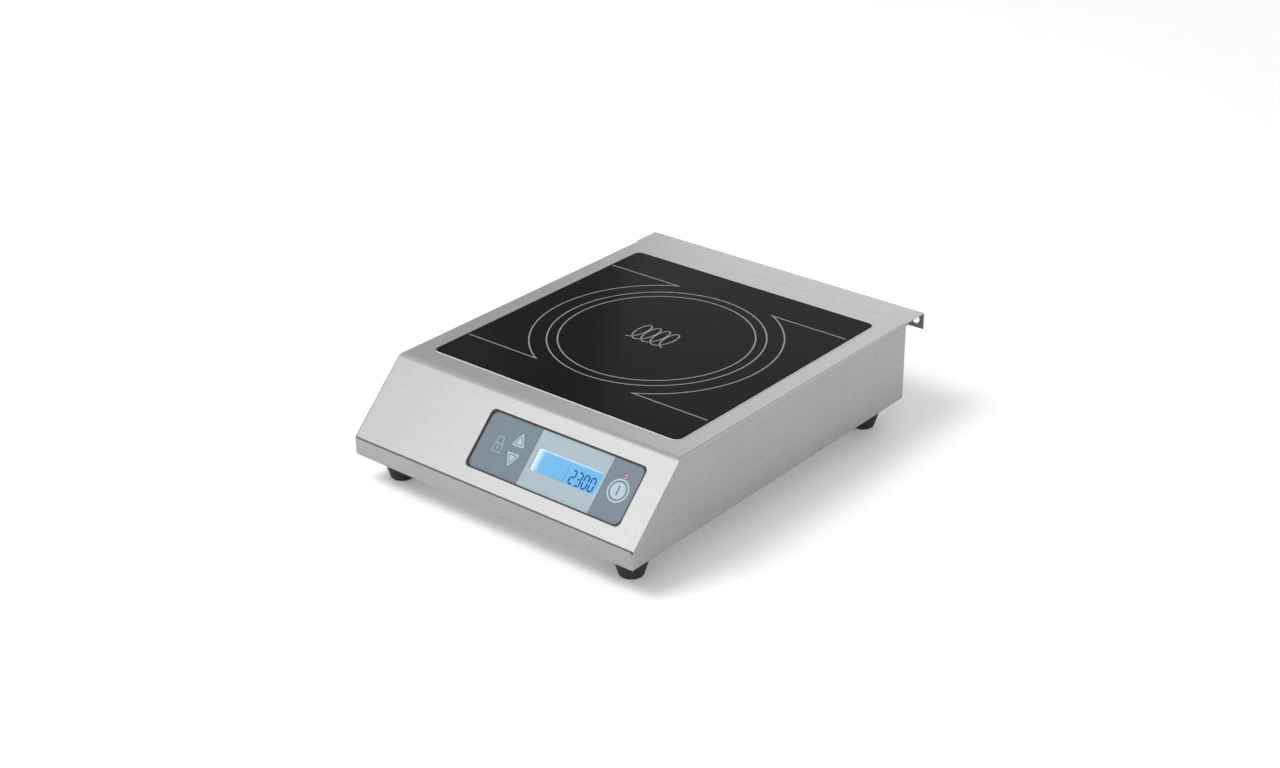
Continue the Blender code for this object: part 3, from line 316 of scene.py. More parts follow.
GROUND_EDGE = Finish("ground_glass_edge", (0.8, 0.81, 0.82), 0.35, grain=0.0004, specular=0.7)
GLASS_PRINT = Finish("glass_print", (0.24, 0.24, 0.25), 0.45, grain=0.0003, specular=0.3)
SILICONE = Finish("black_silicone", (0.03, 0.03, 0.03), 0.6)
RUBBER = Finish("foot_rubber", (0.014, 0.014, 0.015), 0.62, grain=0.0007, contrast=0.2, relief=3e-5)
NYLON_BLACK = Finish("black_nylon", (0.03, 0.03, 0.031), 0.45, grain=0.0005, relief=2e-5)
FAN_PLASTIC = Finish("fan_plastic", (0.028, 0.028, 0.03), 0.5, grain=0.0005, relief=2e-5)
FILM_DARK = Finish("film_dark", (0.118, 0.16, 0.195), 0.42, grain=0.00025, contrast=0.05, relief=6e-6)
FILM_LIGHT = Finish("film_light", (0.305, 0.38, 0.43), 0.42, grain=0.00025, contrast=0.04, relief=6e-6)
GASKET = Finish("window_gasket", (0.012, 0.014, 0.016), 0.55)
PRINT_PALE = Finish("print_pale", (0.38, 0.475, 0.53), 0.45)
PRINT_FAINT = Finish("print_faint", (0.235, 0.31, 0.36), 0.45)
WINDOW_CLEAR = Finish("display_pane", (0.3, 0.36, 0.42), 0.08, contrast=0.0, relief=0.0, alpha=0.04)
LCD_DIGIT = Finish("lcd_digit", (0.006, 0.05, 0.27), 0.5, contrast=0.0, relief=0.0, specular=0.2)
LCD_RULE = Finish("lcd_rule", (0.06, 0.22, 0.45), 0.4)
LCD_SHELL = Finish("lcd_shell", (0.5, 0.52, 0.54), 0.4, 1.0)
LED_RIM = Finish("led_rim", (0.62, 0.27, 0.42), 0.4, glow=0.12)
LED_CORE = Finish("led_core", (0.42, 0.014, 0.1), 0.35, glow=0.35)
LITZ = Finish("litz_copper", (0.62, 0.3, 0.13), 0.38, 1.0, Pattern.STRANDS, 0.0012, 0.25, 6e-5)
MICA = Finish("mica_sheet", (0.62, 0.55, 0.4), 0.65, grain=0.003, contrast=0.15)
CARRIER = Finish("carrier_plastic", (0.035, 0.035, 0.037), 0.55, grain=0.0006, relief=2e-5)
FERRITE = Finish("ferrite_grey", (0.06, 0.06, 0.065), 0.6, grain=0.0004, contrast=0.2, relief=2e-5)
ALUMINIUM = Finish("mill_aluminium", (0.72, 0.73, 0.74), 0.36, 1.0, Pattern.BRUSHED_Y, 0.0006, 0.05, 4e-6)
CERAMIC = Finish("sensor_ceramic", (0.8, 0.79, 0.74), 0.5, contrast=0.05)
BOARD = Finish("circuit_board", (0.02, 0.16, 0.07), 0.4, pattern=Pattern.TRACES, grain=0.006, contrast=0.2)
CHIP = Finish("black_epoxy", (0.022, 0.022, 0.024), 0.5, grain=0.0004)
CAPACITOR = Finish("capacitor_case", (0.28, 0.3, 0.32), 0.45, grain=0.0005)
CHOKE = Finish("choke_core", (0.05, 0.2, 0.09), 0.45, grain=0.0005)
TERMINAL = Finish("terminal_nylon", (0.7, 0.68, 0.6), 0.5, grain=0.0005)
RIBBON = Finish("ribbon_grey", (0.42, 0.42, 0.43), 0.55, grain=0.0006)
SLEEVE = Finish("lead_sleeve", (0.45, 0.05, 0.03), 0.6, pattern=Pattern.STRANDS, grain=0.0006, relief=3e-5)


@dataclass(frozen=True)
class PaneGlowWithHighlight:
    """The display's lit face: a real blue glow, with a painted highlight along its left and upper edges that
    stands in for the lit inner walls of the opening.

    Attributes:
        name: the material's name.
        left: the face's left edge on X, in metres.
        highlight_reach: how far the painted highlight reaches from the left edge.
        top: a point on the face's upper edge.
        up: the direction up the face.
        rim: how far the painted highlight reaches from the upper edge.
        near: the painted highlight's colour, by the left and upper edges.
        far: the colour of the rest.
        glow: emission strength.
    """

    name: str
    left: float
    highlight_reach: float
    top: tuple[float, float, float]
    up: tuple[float, float, float]
    rim: float
    near: tuple[float, float, float, float] = (0.45, 0.62, 0.73, 1.0)
    far: tuple[float, float, float, float] = (0.065, 0.29, 0.5, 1.0)
    glow: float = 0.3

    def material(self) -> bpy.types.Material:
        """Returns the pane's material: its glow and its painted highlight."""
        made = bpy.data.materials.new(self.name)
        made.use_nodes = True
        graph = Graph(made.node_tree)
        shader = made.node_tree.nodes["Principled BSDF"]
        spot = graph.add("ShaderNodeTexCoord").outputs["Object"]
        across = Value(graph, graph.add("ShaderNodeSeparateXYZ", {}, {0: spot}).outputs[0])
        height = graph.add(
            "ShaderNodeVectorMath", {"operation": "DOT_PRODUCT"}, {0: spot, 1: self.up}
        )
        # Painted highlight: paler towards the left and upper edges, for the lit inner walls of the opening.
        drop = Vector(self.top).dot(Vector(self.up)) - Value(graph, height.outputs["Value"])
        side = self._falloff(graph, (across - self.left) / self.highlight_reach)
        edge = self._falloff(graph, drop / self.rim)
        share = side + edge - side * edge
        tint = graph.add(
            "ShaderNodeMix",
            {"data_type": "RGBA"},
            {"Factor": share, 6: self.far, 7: self.near},
        )
        graph.feed(shader.inputs["Base Color"], tint.outputs[2])
        graph.feed(shader.inputs["Emission Color"], tint.outputs[2])
        shader.inputs["Emission Strength"].default_value = self.glow
        shader.inputs["Roughness"].default_value = 0.3
        return made

    @staticmethod
    def _falloff(graph: Graph, way: Value) -> Value:
        """Returns 1 at the start of the way, falling smoothly to 0 at its end."""
        node = graph.add(
            "ShaderNodeMapRange",
            {"interpolation_type": "SMOOTHSTEP"},
            {"Value": way, "From Min": 0.0, "From Max": 1.0, "To Min": 1.0, "To Max": 0.0},
        )
        return Value(graph, node.outputs[0])


SLOT_FINISH = {
    "stainless": STEEL_ACROSS,
    "zinc_steel": ZINC_SHEET,
    "screw_steel": SCREW_STEEL,
    "ceramic_glass": BLACK_GLASS,
    "silicone": SILICONE,
    "foot_rubber": RUBBER,
    "mica": MICA,
    "copper_litz": LITZ,
    "carrier_plastic": CARRIER,
    "ferrite": FERRITE,
    "aluminium": ALUMINIUM,
    "sensor_ceramic": CERAMIC,
    "board_green": BOARD,
    "chip_black": CHIP,
    "capacitor_grey": CAPACITOR,
    "choke_green": CHOKE,
    "terminal_nylon": TERMINAL,
    "fan_plastic": FAN_PLASTIC,
    "panel_film": FILM_DARK,
    "display_clear": WINDOW_CLEAR,
    "lcd_blue": LCD_SHELL,
    "led_red": LED_CORE,
    "ribbon_grey": RIBBON,
    "lead_jacket": SLEEVE,
    "gland_nylon": NYLON_BLACK,
}


# ================================ outlines =======================================================
def circle(radius: float, sides: int, centre: Point2 = (0.0, 0.0)) -> Outline:
    """Returns the points of a circle, anticlockwise."""
    turn = 2 * math.pi / sides
    return [
        (centre[0] + radius * math.cos(i * turn), centre[1] + radius * math.sin(i * turn))
        for i in range(sides)
    ]


def rounded(corners: Sequence[Point2], radius: float, steps: int = 8) -> Outline:
    """Rounds a closed outline.

    Args:
        corners: the outline's corners, anticlockwise.
        radius: the radius at every corner.
        steps: chords in each arc.

    Returns:
        The rounded outline.
    """
    points = []
    count = len(corners)
    for i, corner in enumerate(corners):
        here = Vector(corner)
        back = (Vector(corners[i - 1]) - here).normalized()
        ahead = (Vector(corners[(i + 1) % count]) - here).normalized()
        half = back.angle(ahead) / 2
        centre = here + (back + ahead).normalized() * radius / math.sin(half)
        first = here + back * radius / math.tan(half) - centre
        sweep = math.pi - 2 * half
        for k in range(steps + 1):
            points.append(tuple(centre + Matrix.Rotation(sweep * k / steps, 2) @ first))
    return points


def rectangle(size: Point2, radius: float, centre: Point2 = (0.0, 0.0), steps: int = 8) -> Outline:
    """Returns a rounded rectangle round its centre, anticlockwise."""
    x, y = size[0] / 2, size[1] / 2
    cx, cy = centre
    corners = [(cx - x, cy - y), (cx + x, cy - y), (cx + x, cy + y), (cx - x, cy + y)]
    return rounded(corners, radius, steps)


def moved(points: Sequence[Point2], distance: float, closed: bool = True) -> Outline:
    """Moves a path sideways.

    Args:
        points: the path.
        distance: how far, to the right of the way it runs.
        closed: whether its end joins its start.

    Returns:
        The moved path, with mitred corners.
    """
    out = []
    count = len(points)
    for i, point in enumerate(points):
        here = Vector(point)
        runs = []
        if closed or i > 0:
            runs.append((here - Vector(points[i - 1])).normalized())
        if closed or i < count - 1:
            runs.append((Vector(points[(i + 1) % count]) - here).normalized())
        sides = [Vector((run.y, -run.x)) for run in runs]
        mean = sum(sides, Vector((0.0, 0.0))).normalized()
        out.append(tuple(here + mean * distance / mean.dot(sides[0])))
    return out


def band(points: Sequence[Point2], width: float) -> Outline:
    """Returns the outline of a line of some width along an open path."""
    right = moved(points, width / 2, closed=False)
    left = moved(points, -width / 2, closed=False)
    return right + left[::-1]


def arc(radius: float, start: float, end: float, steps: int, centre: Point2 = (0.0, 0.0)) -> Outline:
    """Returns an arc's points from one angle to another, in degrees."""
    angles = [math.radians(start + (end - start) * k / steps) for k in range(steps + 1)]
    return [(centre[0] + radius * math.cos(a), centre[1] + radius * math.sin(a)) for a in angles]


# ================================ meshes =========================================================
def add_loft(bm: bmesh.types.BMesh, loops: Loops, closed: bool = False) -> None:
    """Adds a solid through loops of points to bm, capped at its ends or closed on itself."""
    rings = [[bm.verts.new(point) for point in loop] for loop in loops]
    pairs = list(zip(rings, rings[1:]))
    if closed:
        pairs.append((rings[-1], rings[0]))
    else:
        bm.faces.new(rings[0])
        bm.faces.new(rings[-1])
    for low, high in pairs:
        for i, vert in enumerate(low):
            j = (i + 1) % len(low)
            bm.faces.new((vert, low[j], high[j], high[i]))


def loft(loops: Loops, closed: bool = False) -> bmesh.types.BMesh:
    """Returns a new solid through loops of points."""
    bm = bmesh.new()
    add_loft(bm, loops, closed)
    return bm


def level(points: Iterable[Point2], z: float) -> list[tuple[float, float, float]]:
    """Returns a flat outline as points at one height."""
    return [(x, y, z) for x, y in points]


def prism(points: Outline, low: float, high: float) -> bmesh.types.BMesh:
    """Returns an outline drawn up from one height to another."""
    return loft([level(points, low), level(points, high)])


def ring(outer: Outline, inner: Outline, low: float, high: float) -> bmesh.types.BMesh:
    """Returns a flat frame between two outlines with as many points as each other."""
    loops = [level(outer, low), level(outer, high), level(inner, high), level(inner, low)]
    return loft(loops, closed=True)


def block(low: Sequence[float], high: Sequence[float]) -> bmesh.types.BMesh:
    """Returns a box from its lowest to its highest corner."""
    outline = [(low[0], low[1]), (high[0], low[1]), (high[0], high[1]), (low[0], high[1])]
    return prism(outline, low[2], high[2])


def turned(profile: Sequence[Point2], sides: int, closed: bool = False) -> bmesh.types.BMesh:
    """Returns a solid turned about Z from (radius, z) pairs, or a ring from a closed outline."""
    return loft([level(circle(radius, sides), z) for radius, z in profile], closed)


def along_x(outline: Outline, low: float, high: float) -> bmesh.types.BMesh:
    """Returns an outline in (y, z) drawn out along X."""
    return loft([[(x, y, z) for y, z in outline] for x in (low, high)])


def thing(name: str, bm: bmesh.types.BMesh, finish: Optional[Finish] = None) -> bpy.types.Object:
    """Makes an object of a mesh.

    Args:
        name: the object's name.
        bm: its mesh, which is freed.
        finish: its finish, if it has one yet.

    Returns:
        The object, linked to the scene, with its faces turned outwards.
    """
    bmesh.ops.recalc_face_normals(bm, faces=bm.faces)
    mesh = bpy.data.meshes.new(name)
    bm.to_mesh(mesh)
    bm.free()
    made = bpy.data.objects.new(name, mesh)
    bpy.context.scene.collection.objects.link(made)
    if finish:
        mesh.materials.append(finish.material())
    return made


def settle(made: bpy.types.Object, sharp: float = 32.0) -> bpy.types.Object:
    """Turns an object's modifiers into its mesh and smooths what isn't an edge.

    Args:
        made: the object.
        sharp: the angle in degrees from which an edge stays sharp.

    Returns:
        The same object, without modifiers.
    """
    bpy.context.view_layer.update()
    graph = bpy.context.evaluated_depsgraph_get()
    mesh = bpy.data.meshes.new_from_object(made.evaluated_get(graph))
    made.modifiers.clear()
    made.data = mesh
    mesh.shade_smooth()
    mesh.set_sharp_from_angle(angle=math.radians(sharp))
    weigh = made.modifiers.new("weighted", "WEIGHTED_NORMAL")
    weigh.keep_sharp = True
    bpy.context.view_layer.update()
    graph = bpy.context.evaluated_depsgraph_get()
    made.data = bpy.data.meshes.new_from_object(made.evaluated_get(graph))
    made.modifiers.clear()
    made.data.name = made.name
    return made


def cut(made: bpy.types.Object, tool: bpy.types.Object, operation: str = "DIFFERENCE") -> None:
    """Cuts a tool from an object, or joins it to it, at once, and removes the tool."""
    change = made.modifiers.new("cut", "BOOLEAN")
    change.operation = operation
    change.solver = "EXACT"
    change.object = tool
    bpy.context.view_layer.update()
    graph = bpy.context.evaluated_depsgraph_get()
    mesh = bpy.data.meshes.new_from_object(made.evaluated_get(graph))
    made.modifiers.clear()
    made.data = mesh
    bpy.data.objects.remove(tool, do_unlink=True)


def place(
    made: bpy.types.Object, slot: str, nodes: Sequence[str] = (), body: str = BODY
) -> bpy.types.Object:
    """Hands a finished piece to the frame.

    Args:
        made: the piece.
        slot: the record's material slot; not used.
        nodes: the CAD nodes that it stands for.
        body: the body that it rides on.

    Returns:
        The piece.
    """
    if nodes:
        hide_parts(*nodes)
    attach(made, body)
    LOG.info("%s: %d faces, on %s", made.name, len(made.data.polygons), body)
    return made


# ================================ repeats, by geometry nodes =====================================
class Repeater:
    """Geometry node trees that copy a shape along a row or onto points."""

    def __init__(self) -> None:
        """Builds the two trees."""
        self.row = self._row_tree()
        self.seats = self._seat_tree()

    @staticmethod
    def _tree(name: str, inputs: Sequence[tuple[str, str]]) -> tuple[bpy.types.NodeTree, Graph]:
        """Returns a new tree with named inputs, and its graph."""
        tree = bpy.data.node_groups.new(name, "GeometryNodeTree")
        tree.interface.new_socket("Geometry", in_out="INPUT", socket_type="NodeSocketGeometry")
        for label, kind in inputs:
            tree.interface.new_socket(label, in_out="INPUT", socket_type=kind)
        tree.interface.new_socket("Geometry", in_out="OUTPUT", socket_type="NodeSocketGeometry")
        return tree, Graph(tree)

    @staticmethod
    def _close(graph: Graph, instances: bpy.types.Node, material: bpy.types.NodeSocket) -> None:
        """Ends a tree in real geometry with its material."""
        real = graph.add("GeometryNodeRealizeInstances", {}, {0: instances})
        dressed = graph.add(
            "GeometryNodeSetMaterial", {}, {"Geometry": real, "Material": material}
        )
        graph.add("NodeGroupOutput", {}, {0: dressed})

    def _row_tree(self) -> bpy.types.NodeTree:
        """Returns the tree for a row: Count copies, each a Step on from the last."""
        inputs = [
            ("Shape", "NodeSocketObject"),
            ("Count", "NodeSocketInt"),
            ("Step", "NodeSocketVector"),
            ("Material", "NodeSocketMaterial"),
        ]
        tree, graph = self._tree("copies_in_a_row", inputs)
        given = graph.add("NodeGroupInput").outputs
        line = graph.add(
            "GeometryNodeMeshLine",
            {"mode": "OFFSET"},
            {"Count": given["Count"], "Offset": given["Step"]},
        )
        shape = graph.add("GeometryNodeObjectInfo", {}, {"Object": given["Shape"]})
        copies = graph.add(
            "GeometryNodeInstanceOnPoints",
            {},
            {"Points": line, "Instance": shape.outputs["Geometry"]},
        )
        self._close(graph, copies, given["Material"])
        return tree

    def _seat_tree(self) -> bpy.types.NodeTree:
        """Returns the tree for seats: a copy at each point of the object's own mesh."""
        inputs = [
            ("Shape", "NodeSocketObject"),
            ("Turn", "NodeSocketVector"),
            ("Material", "NodeSocketMaterial"),
        ]
        tree, graph = self._tree("copies_on_points", inputs)
        given = graph.add("NodeGroupInput").outputs
        shape = graph.add("GeometryNodeObjectInfo", {}, {"Object": given["Shape"]})
        copies = graph.add(
            "GeometryNodeInstanceOnPoints",
            {},
            {
                "Points": given["Geometry"],
                "Instance": shape.outputs["Geometry"],
                "Rotation": given["Turn"],
            },
        )
        self._close(graph, copies, given["Material"])
        return tree

    @staticmethod
    def _grow(
        made: bpy.types.Object, tree: bpy.types.NodeTree, values: dict[str, Any]
    ) -> bpy.types.Object:
        """Runs a tree on an object and keeps the result as its plain mesh."""
        change = made.modifiers.new(tree.name, "NODES")
        change.node_group = tree
        for item in tree.interface.items_tree:
            if item.in_out == "INPUT" and item.name in values:
                change[item.identifier] = values[item.name]
        return settle(made)

    def copies(
        self,
        name: str,
        shape: bpy.types.Object,
        count: int,
        step: Sequence[float],
        finish: Finish,
    ) -> bpy.types.Object:
        """Makes a row of one shape.

        Args:
            name: the new object's name.
            shape: what is copied; it is removed.
            count: how many.
            step: from one to the next, in metres.
            finish: the copies' finish.

        Returns:
            One object with all the copies.
        """
        made = thing(name, bmesh.new())
        values = {
            "Shape": shape,
            "Count": count,
            "Step": tuple(step),
            "Material": finish.material(),
        }
        self._grow(made, self.row, values)
        bpy.data.objects.remove(shape, do_unlink=True)
        return made

    def on_points(
        self,
        name: str,
        shape: bpy.types.Object,
        points: Iterable[Sequence[float]],
        turn: Sequence[float],
        finish: Finish,
    ) -> bpy.types.Object:
        """Makes a copy of one shape at each point, all turned alike; the shape stays."""
        bm = bmesh.new()
        for point in points:
            bm.verts.new(point)
        made = thing(name, bm)
        values = {"Shape": shape, "Turn": tuple(turn), "Material": finish.material()}
        return self._grow(made, self.seats, values)


# ================================ the slope ======================================================
class SlopeFrame:
    """The slope's own frame: X along the panel, Y up from the joint line, Z out of the sheet."""

    film_depth = 1.3 * MM
    film_thickness = 0.5 * MM

    def __init__(self) -> None:
        """Finds the frame from the keys' travel and the case's box."""
        axis = next(j for j in frame["joints"] if j["type"] == "slide")["axis"]
        self.angle = math.atan2(axis[1], -axis[2])
        low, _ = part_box("housing")
        film_low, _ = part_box("panel_overlay")
        self.front = low.y
        near = Vector((0.0, film_low.y, film_low.z + self.film_thickness * math.cos(self.angle)))
        turn = Matrix.Rotation(self.angle, 4, "X")
        out = turn @ Vector((0.0, 0.0, 1.0))
        up = turn @ Vector((0.0, 1.0, 0.0))
        on_face = near + out * self.film_depth
        origin = on_face - up * ((on_face.y - self.front) / up.y)
        self.matrix = Matrix.Translation(origin) @ turn
        self.fold = origin.z
        self.inverse = self.matrix.inverted()

    def box(self, node: str) -> tuple[Vector, Vector]:
        """Returns a CAD node's lowest and highest corner in the slope's frame."""
        places = [self.inverse @ vert.co for vert in frame["nodes"][node].data.vertices]
        low = Vector(min(p[i] for p in places) for i in range(3))
        high = Vector(max(p[i] for p in places) for i in range(3))
        return low, high

    def lay(self, made: bpy.types.Object) -> bpy.types.Object:
        """Moves an object's mesh from the slope's frame to the world's."""
        made.data.transform(self.matrix)
        return made


# ================================ casing =========================================================
@dataclass(frozen=True)
class Window:
    """The opening in the slope for the control panel."""

    size: Point2 = (172 * MM, 55.5 * MM)
    centre: Point2 = (50.4 * MM, 42.8 * MM)
    corner: float = 5 * MM

    def outline(self, inset: float = 0.0, corner: Optional[float] = None) -> Outline:
        """Returns its outline, made smaller all round by inset."""
        size = (self.size[0] - 2 * inset, self.size[1] - 2 * inset)
        return rectangle(size, self.corner - inset if corner is None else corner, self.centre, 10)


@dataclass
class Housing:
    """The folded and welded sheet: deck, slope, sides and apron."""

    sheet: float = 1.0 * MM
    deck_fold: float = 2.5 * MM
    slope_fold: float = 3.5 * MM
    rear_fold: float = 0.8 * MM
    weld: float = 0.35 * MM
    glass_gap: float = 0.15 * MM
    glass_corner: float = 7.5 * MM
    joint_line: float = 1.9 * MM
    joint_depth: float = 0.55 * MM
    return_width: float = 13 * MM
    window: Window = Window()
    steps: int = 8

    def _radius(self, start: Vector, end: Vector) -> float:
        """Returns the outer radius at one edge of the case."""
        near = 2 * MM
        along_width = abs(start.x - end.x) > self.high.x
        rear = min(start.y, end.y) > self.high.y - near
        if min(start.z, end.z) > self.high.z - near:
            if not along_width:
                return self.deck_fold
            return self.rear_fold if rear else self.slope_fold
        if rear or max(start.z, end.z) < self.low.z + near:
            return self.rear_fold
        if along_width:
            return 0.0
        return self.deck_fold if max(start.y, end.y) < self.low.y + near else self.weld

    def _solid(self, name: str, slope: SlopeFrame, inset: float) -> bpy.types.Object:
        """Returns the case's filled shape, moved in by inset, with its folds rounded."""
        run = (self.high.z - slope.fold) / math.tan(slope.angle)
        outline = [
            (self.low.y, self.low.z),
            (self.high.y, self.low.z),
            (self.high.y, self.high.z),
            (self.low.y + run, self.high.z),
            (self.low.y, slope.fold),
        ]
        side = self.high.x - inset
        bm = along_x(moved(outline, -inset), -side, side)
        weights = bm.edges.layers.float.new("bevel_weight_edge")
        for edge in bm.edges:
            radius = self._radius(*(vert.co for vert in edge.verts))
            edge[weights] = max(radius - inset, 0.0) / self.slope_fold
        made = thing(name, bm)
        bevel = made.modifiers.new("folds", "BEVEL")
        bevel.limit_method = "WEIGHT"
        bevel.width = self.slope_fold
        bevel.segments = self.steps
        return made

    def build(self, slope: SlopeFrame) -> None:
        """Builds the sheet and puts it in the CAD node's place."""
        self.low, self.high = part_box("housing")
        case = self._solid("stainless_housing", slope, 0.0)
        cut(case, self._solid("hollow", slope, self.sheet))
        inner = self.high.x - self.return_width
        cut(case, thing("below", block(
            (-inner, self.low.y + self.return_width, self.low.z - 5 * MM),
            (inner, self.high.y - self.return_width, self.low.z + 3 * MM),
        )))
        cut(case, thing("behind", block(
            (-inner, self.high.y - 4 * MM, self.low.z + self.return_width),
            (inner, self.high.y + 5 * MM, self.high.z - self.return_width),
        )))
        low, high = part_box("glass_plate")
        size = (high.x - low.x + 2 * self.glass_gap, high.y - low.y + 2 * self.glass_gap)
        centre = ((low.x + high.x) / 2, (low.y + high.y) / 2)
        opening = rectangle(size, self.glass_corner + self.glass_gap, centre, 12)
        cut(case, thing("opening", prism(opening, self.high.z - 5 * MM, self.high.z + 5 * MM)))
        cut(case, slope.lay(thing("window", prism(self.window.outline(), -5 * MM, 5 * MM))))
        reach = self.high.x - 0.8 * MM
        line = block((-reach, 0.2 * MM, -3 * MM), (reach, 0.2 * MM + self.joint_line, 3 * MM))
        cut(case, slope.lay(thing("line", line)))
        for side in (-1, 1):
            end = circle(1.0 * MM, 20, (self.low.y + 0.8 * MM, slope.fold + 0.2 * MM))
            reach = (side * (self.high.x - 2.2 * MM), side * (self.high.x + 1 * MM))
            cut(case, thing("notch", along_x(end, *reach)))
        self._dress(case)
        place(settle(case), "stainless", ["housing"])
        # Painted shade: a dark grey strip sunk in the joint line's groove gives the gap the tone of its shadow.
        reach = self.high.x - 1.2 * MM
        strip = block(
            (-reach, 0.2 * MM, -0.9 * MM), (reach, 0.2 * MM + self.joint_line, -self.joint_depth)
        )
        place(settle(slope.lay(thing("joint_strip", strip, JOINT_PAINTED_SHADE))), "stainless")

    @staticmethod
    def _dress(case: bpy.types.Object) -> None:
        """Brushes the sides along Y and everything else along X."""
        case.data.materials.clear()
        for finish in (STEEL_ACROSS, STEEL_ALONG):
            case.data.materials.append(finish.material())
        for face in case.data.polygons:
            face.material_index = int(abs(face.normal.x) > 0.7)


@dataclass
class RearPanel:
    """The rear sheet, folded back level with the deck and down into the lip."""

    sheet: float = 1.0 * MM
    fold: float = 1.3 * MM
    inset: float = 3 * MM
    lip_hole: float = 4.3 * MM
    lip_hole_x: float = 151.3 * MM
    lip_height: float = 16.7 * MM
    vent_count: int = 24
    vent_pitch: float = 9 * MM
    vent_radius: float = 1.75 * MM
    vent_length: float = 34 * MM
    vent_centre: Point2 = (22 * MM, 66 * MM)
    gland_hole: float = 8.2 * MM

    def _section(self, low: Vector, high: Vector) -> Outline:
        """Returns the folded sheet's section in (y, z)."""
        path = [
            (low.y, low.z),
            (low.y, high.z),
            (high.y, high.z),
            (high.y, high.z - self.lip_height),
        ]
        face = [path[0]]
        steps = 8
        for i in (1, 2):
            here = Vector(path[i])
            back = (Vector(path[i - 1]) - here).normalized()
            ahead = (Vector(path[i + 1]) - here).normalized()
            centre = here + (back + ahead) * self.fold
            for k in range(steps + 1):
                turn = Matrix.Rotation(-math.pi / 2 * k / steps, 2)
                face.append(tuple(centre - turn @ ahead * self.fold))
        face.append(path[-1])
        return face + moved(face, self.sheet, closed=False)[::-1]

    def build(self, repeat: Repeater) -> None:
        """Builds the sheet with its vents and holes."""
        low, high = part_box("rear_panel")
        sheet = thing("rear_sheet", along_x(self._section(low, high), low.x, high.x))
        for side in (-1, 1):
            x0, x1 = sorted((side * (high.x - self.inset), side * (high.x + 1 * MM)))
            corner = (x1, low.y + 1.4 * MM, high.z - 3 * MM)
            cut(sheet, thing("strip", block((x0, low.y - 1 * MM, low.z - 1 * MM), corner)))
        reach = self.vent_length / 2 - self.vent_radius
        x = self.vent_centre[0] - (self.vent_count - 1) / 2 * self.vent_pitch
        z = self.vent_centre[1]
        ends = arc(self.vent_radius, 0, 180, 10, (x, z + reach))
        ends += arc(self.vent_radius, 180, 360, 10, (x, z - reach))
        depths = (low.y - 3 * MM, low.y + 3 * MM)
        vent = thing("vent", loft([[(a, y, b) for a, b in ends] for y in depths]))
        step = (self.vent_pitch, 0.0, 0.0)
        cut(sheet, repeat.copies("vents", vent, self.vent_count, step, finish=STEEL_ACROSS))
        gland_low, gland_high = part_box("cable_gland")
        gland = ((gland_low.x + gland_high.x) / 2, (gland_low.z + gland_high.z) / 2)
        holes = [(gland, self.gland_hole, depths)]
        lip = (high.y - 3 * MM, high.y + 3 * MM)
        for x in (-self.lip_hole_x, self.lip_hole_x):
            holes.append(((x, high.z - self.lip_height / 2), self.lip_hole, lip))
        for centre, radius, depths in holes:
            hole = circle(radius, 48, centre)
            cut(sheet, thing("hole", loft([[(a, y, b) for a, b in hole] for y in depths])))
        sheet.data.materials.clear()
        sheet.data.materials.append(STEEL_ACROSS.material())
        place(settle(sheet), "stainless", ["rear_panel"])


@dataclass
class Foot:
    """A tapered rubber foot, open below for its screw."""

    sole: float = 11.2 * MM
    top: float = 18 * MM
    bore: float = 2.4 * MM
    pocket: float = 5.2 * MM
    pocket_depth: float = 12 * MM
    edge: float = 2.2 * MM

    def build(self, node: str) -> None:
        """Builds one foot in a CAD foot's place."""
        low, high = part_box(node)
        x, y = (low.x + high.x) / 2, (low.y + high.y) / 2
        rim = self.sole - self.edge
        profile = [(self.pocket, 0.3 * MM), (self.pocket + 0.3 * MM, 0.0), (rim, 0.0)]
        for k in range(1, 7):
            angle = math.radians(78) * k / 6
            profile.append((rim + self.edge * math.sin(angle), self.edge * (1 - math.cos(angle))))
        profile += [
            (self.top - 0.35 * MM, high.z - 1.6 * MM),
            (self.top, high.z - 0.9 * MM),
            (self.top, high.z - 0.3 * MM),
            (self.top - 0.3 * MM, high.z),
            (self.bore, high.z),
            (self.bore, self.pocket_depth),
            (self.pocket, self.pocket_depth),
        ]
        foot = thing(f"rubber_{node}", turned(profile, 64, closed=True), RUBBER)
        foot.data.transform(Matrix.Translation((x, y, 0.0)))
        place(settle(foot), "foot_rubber", [node])


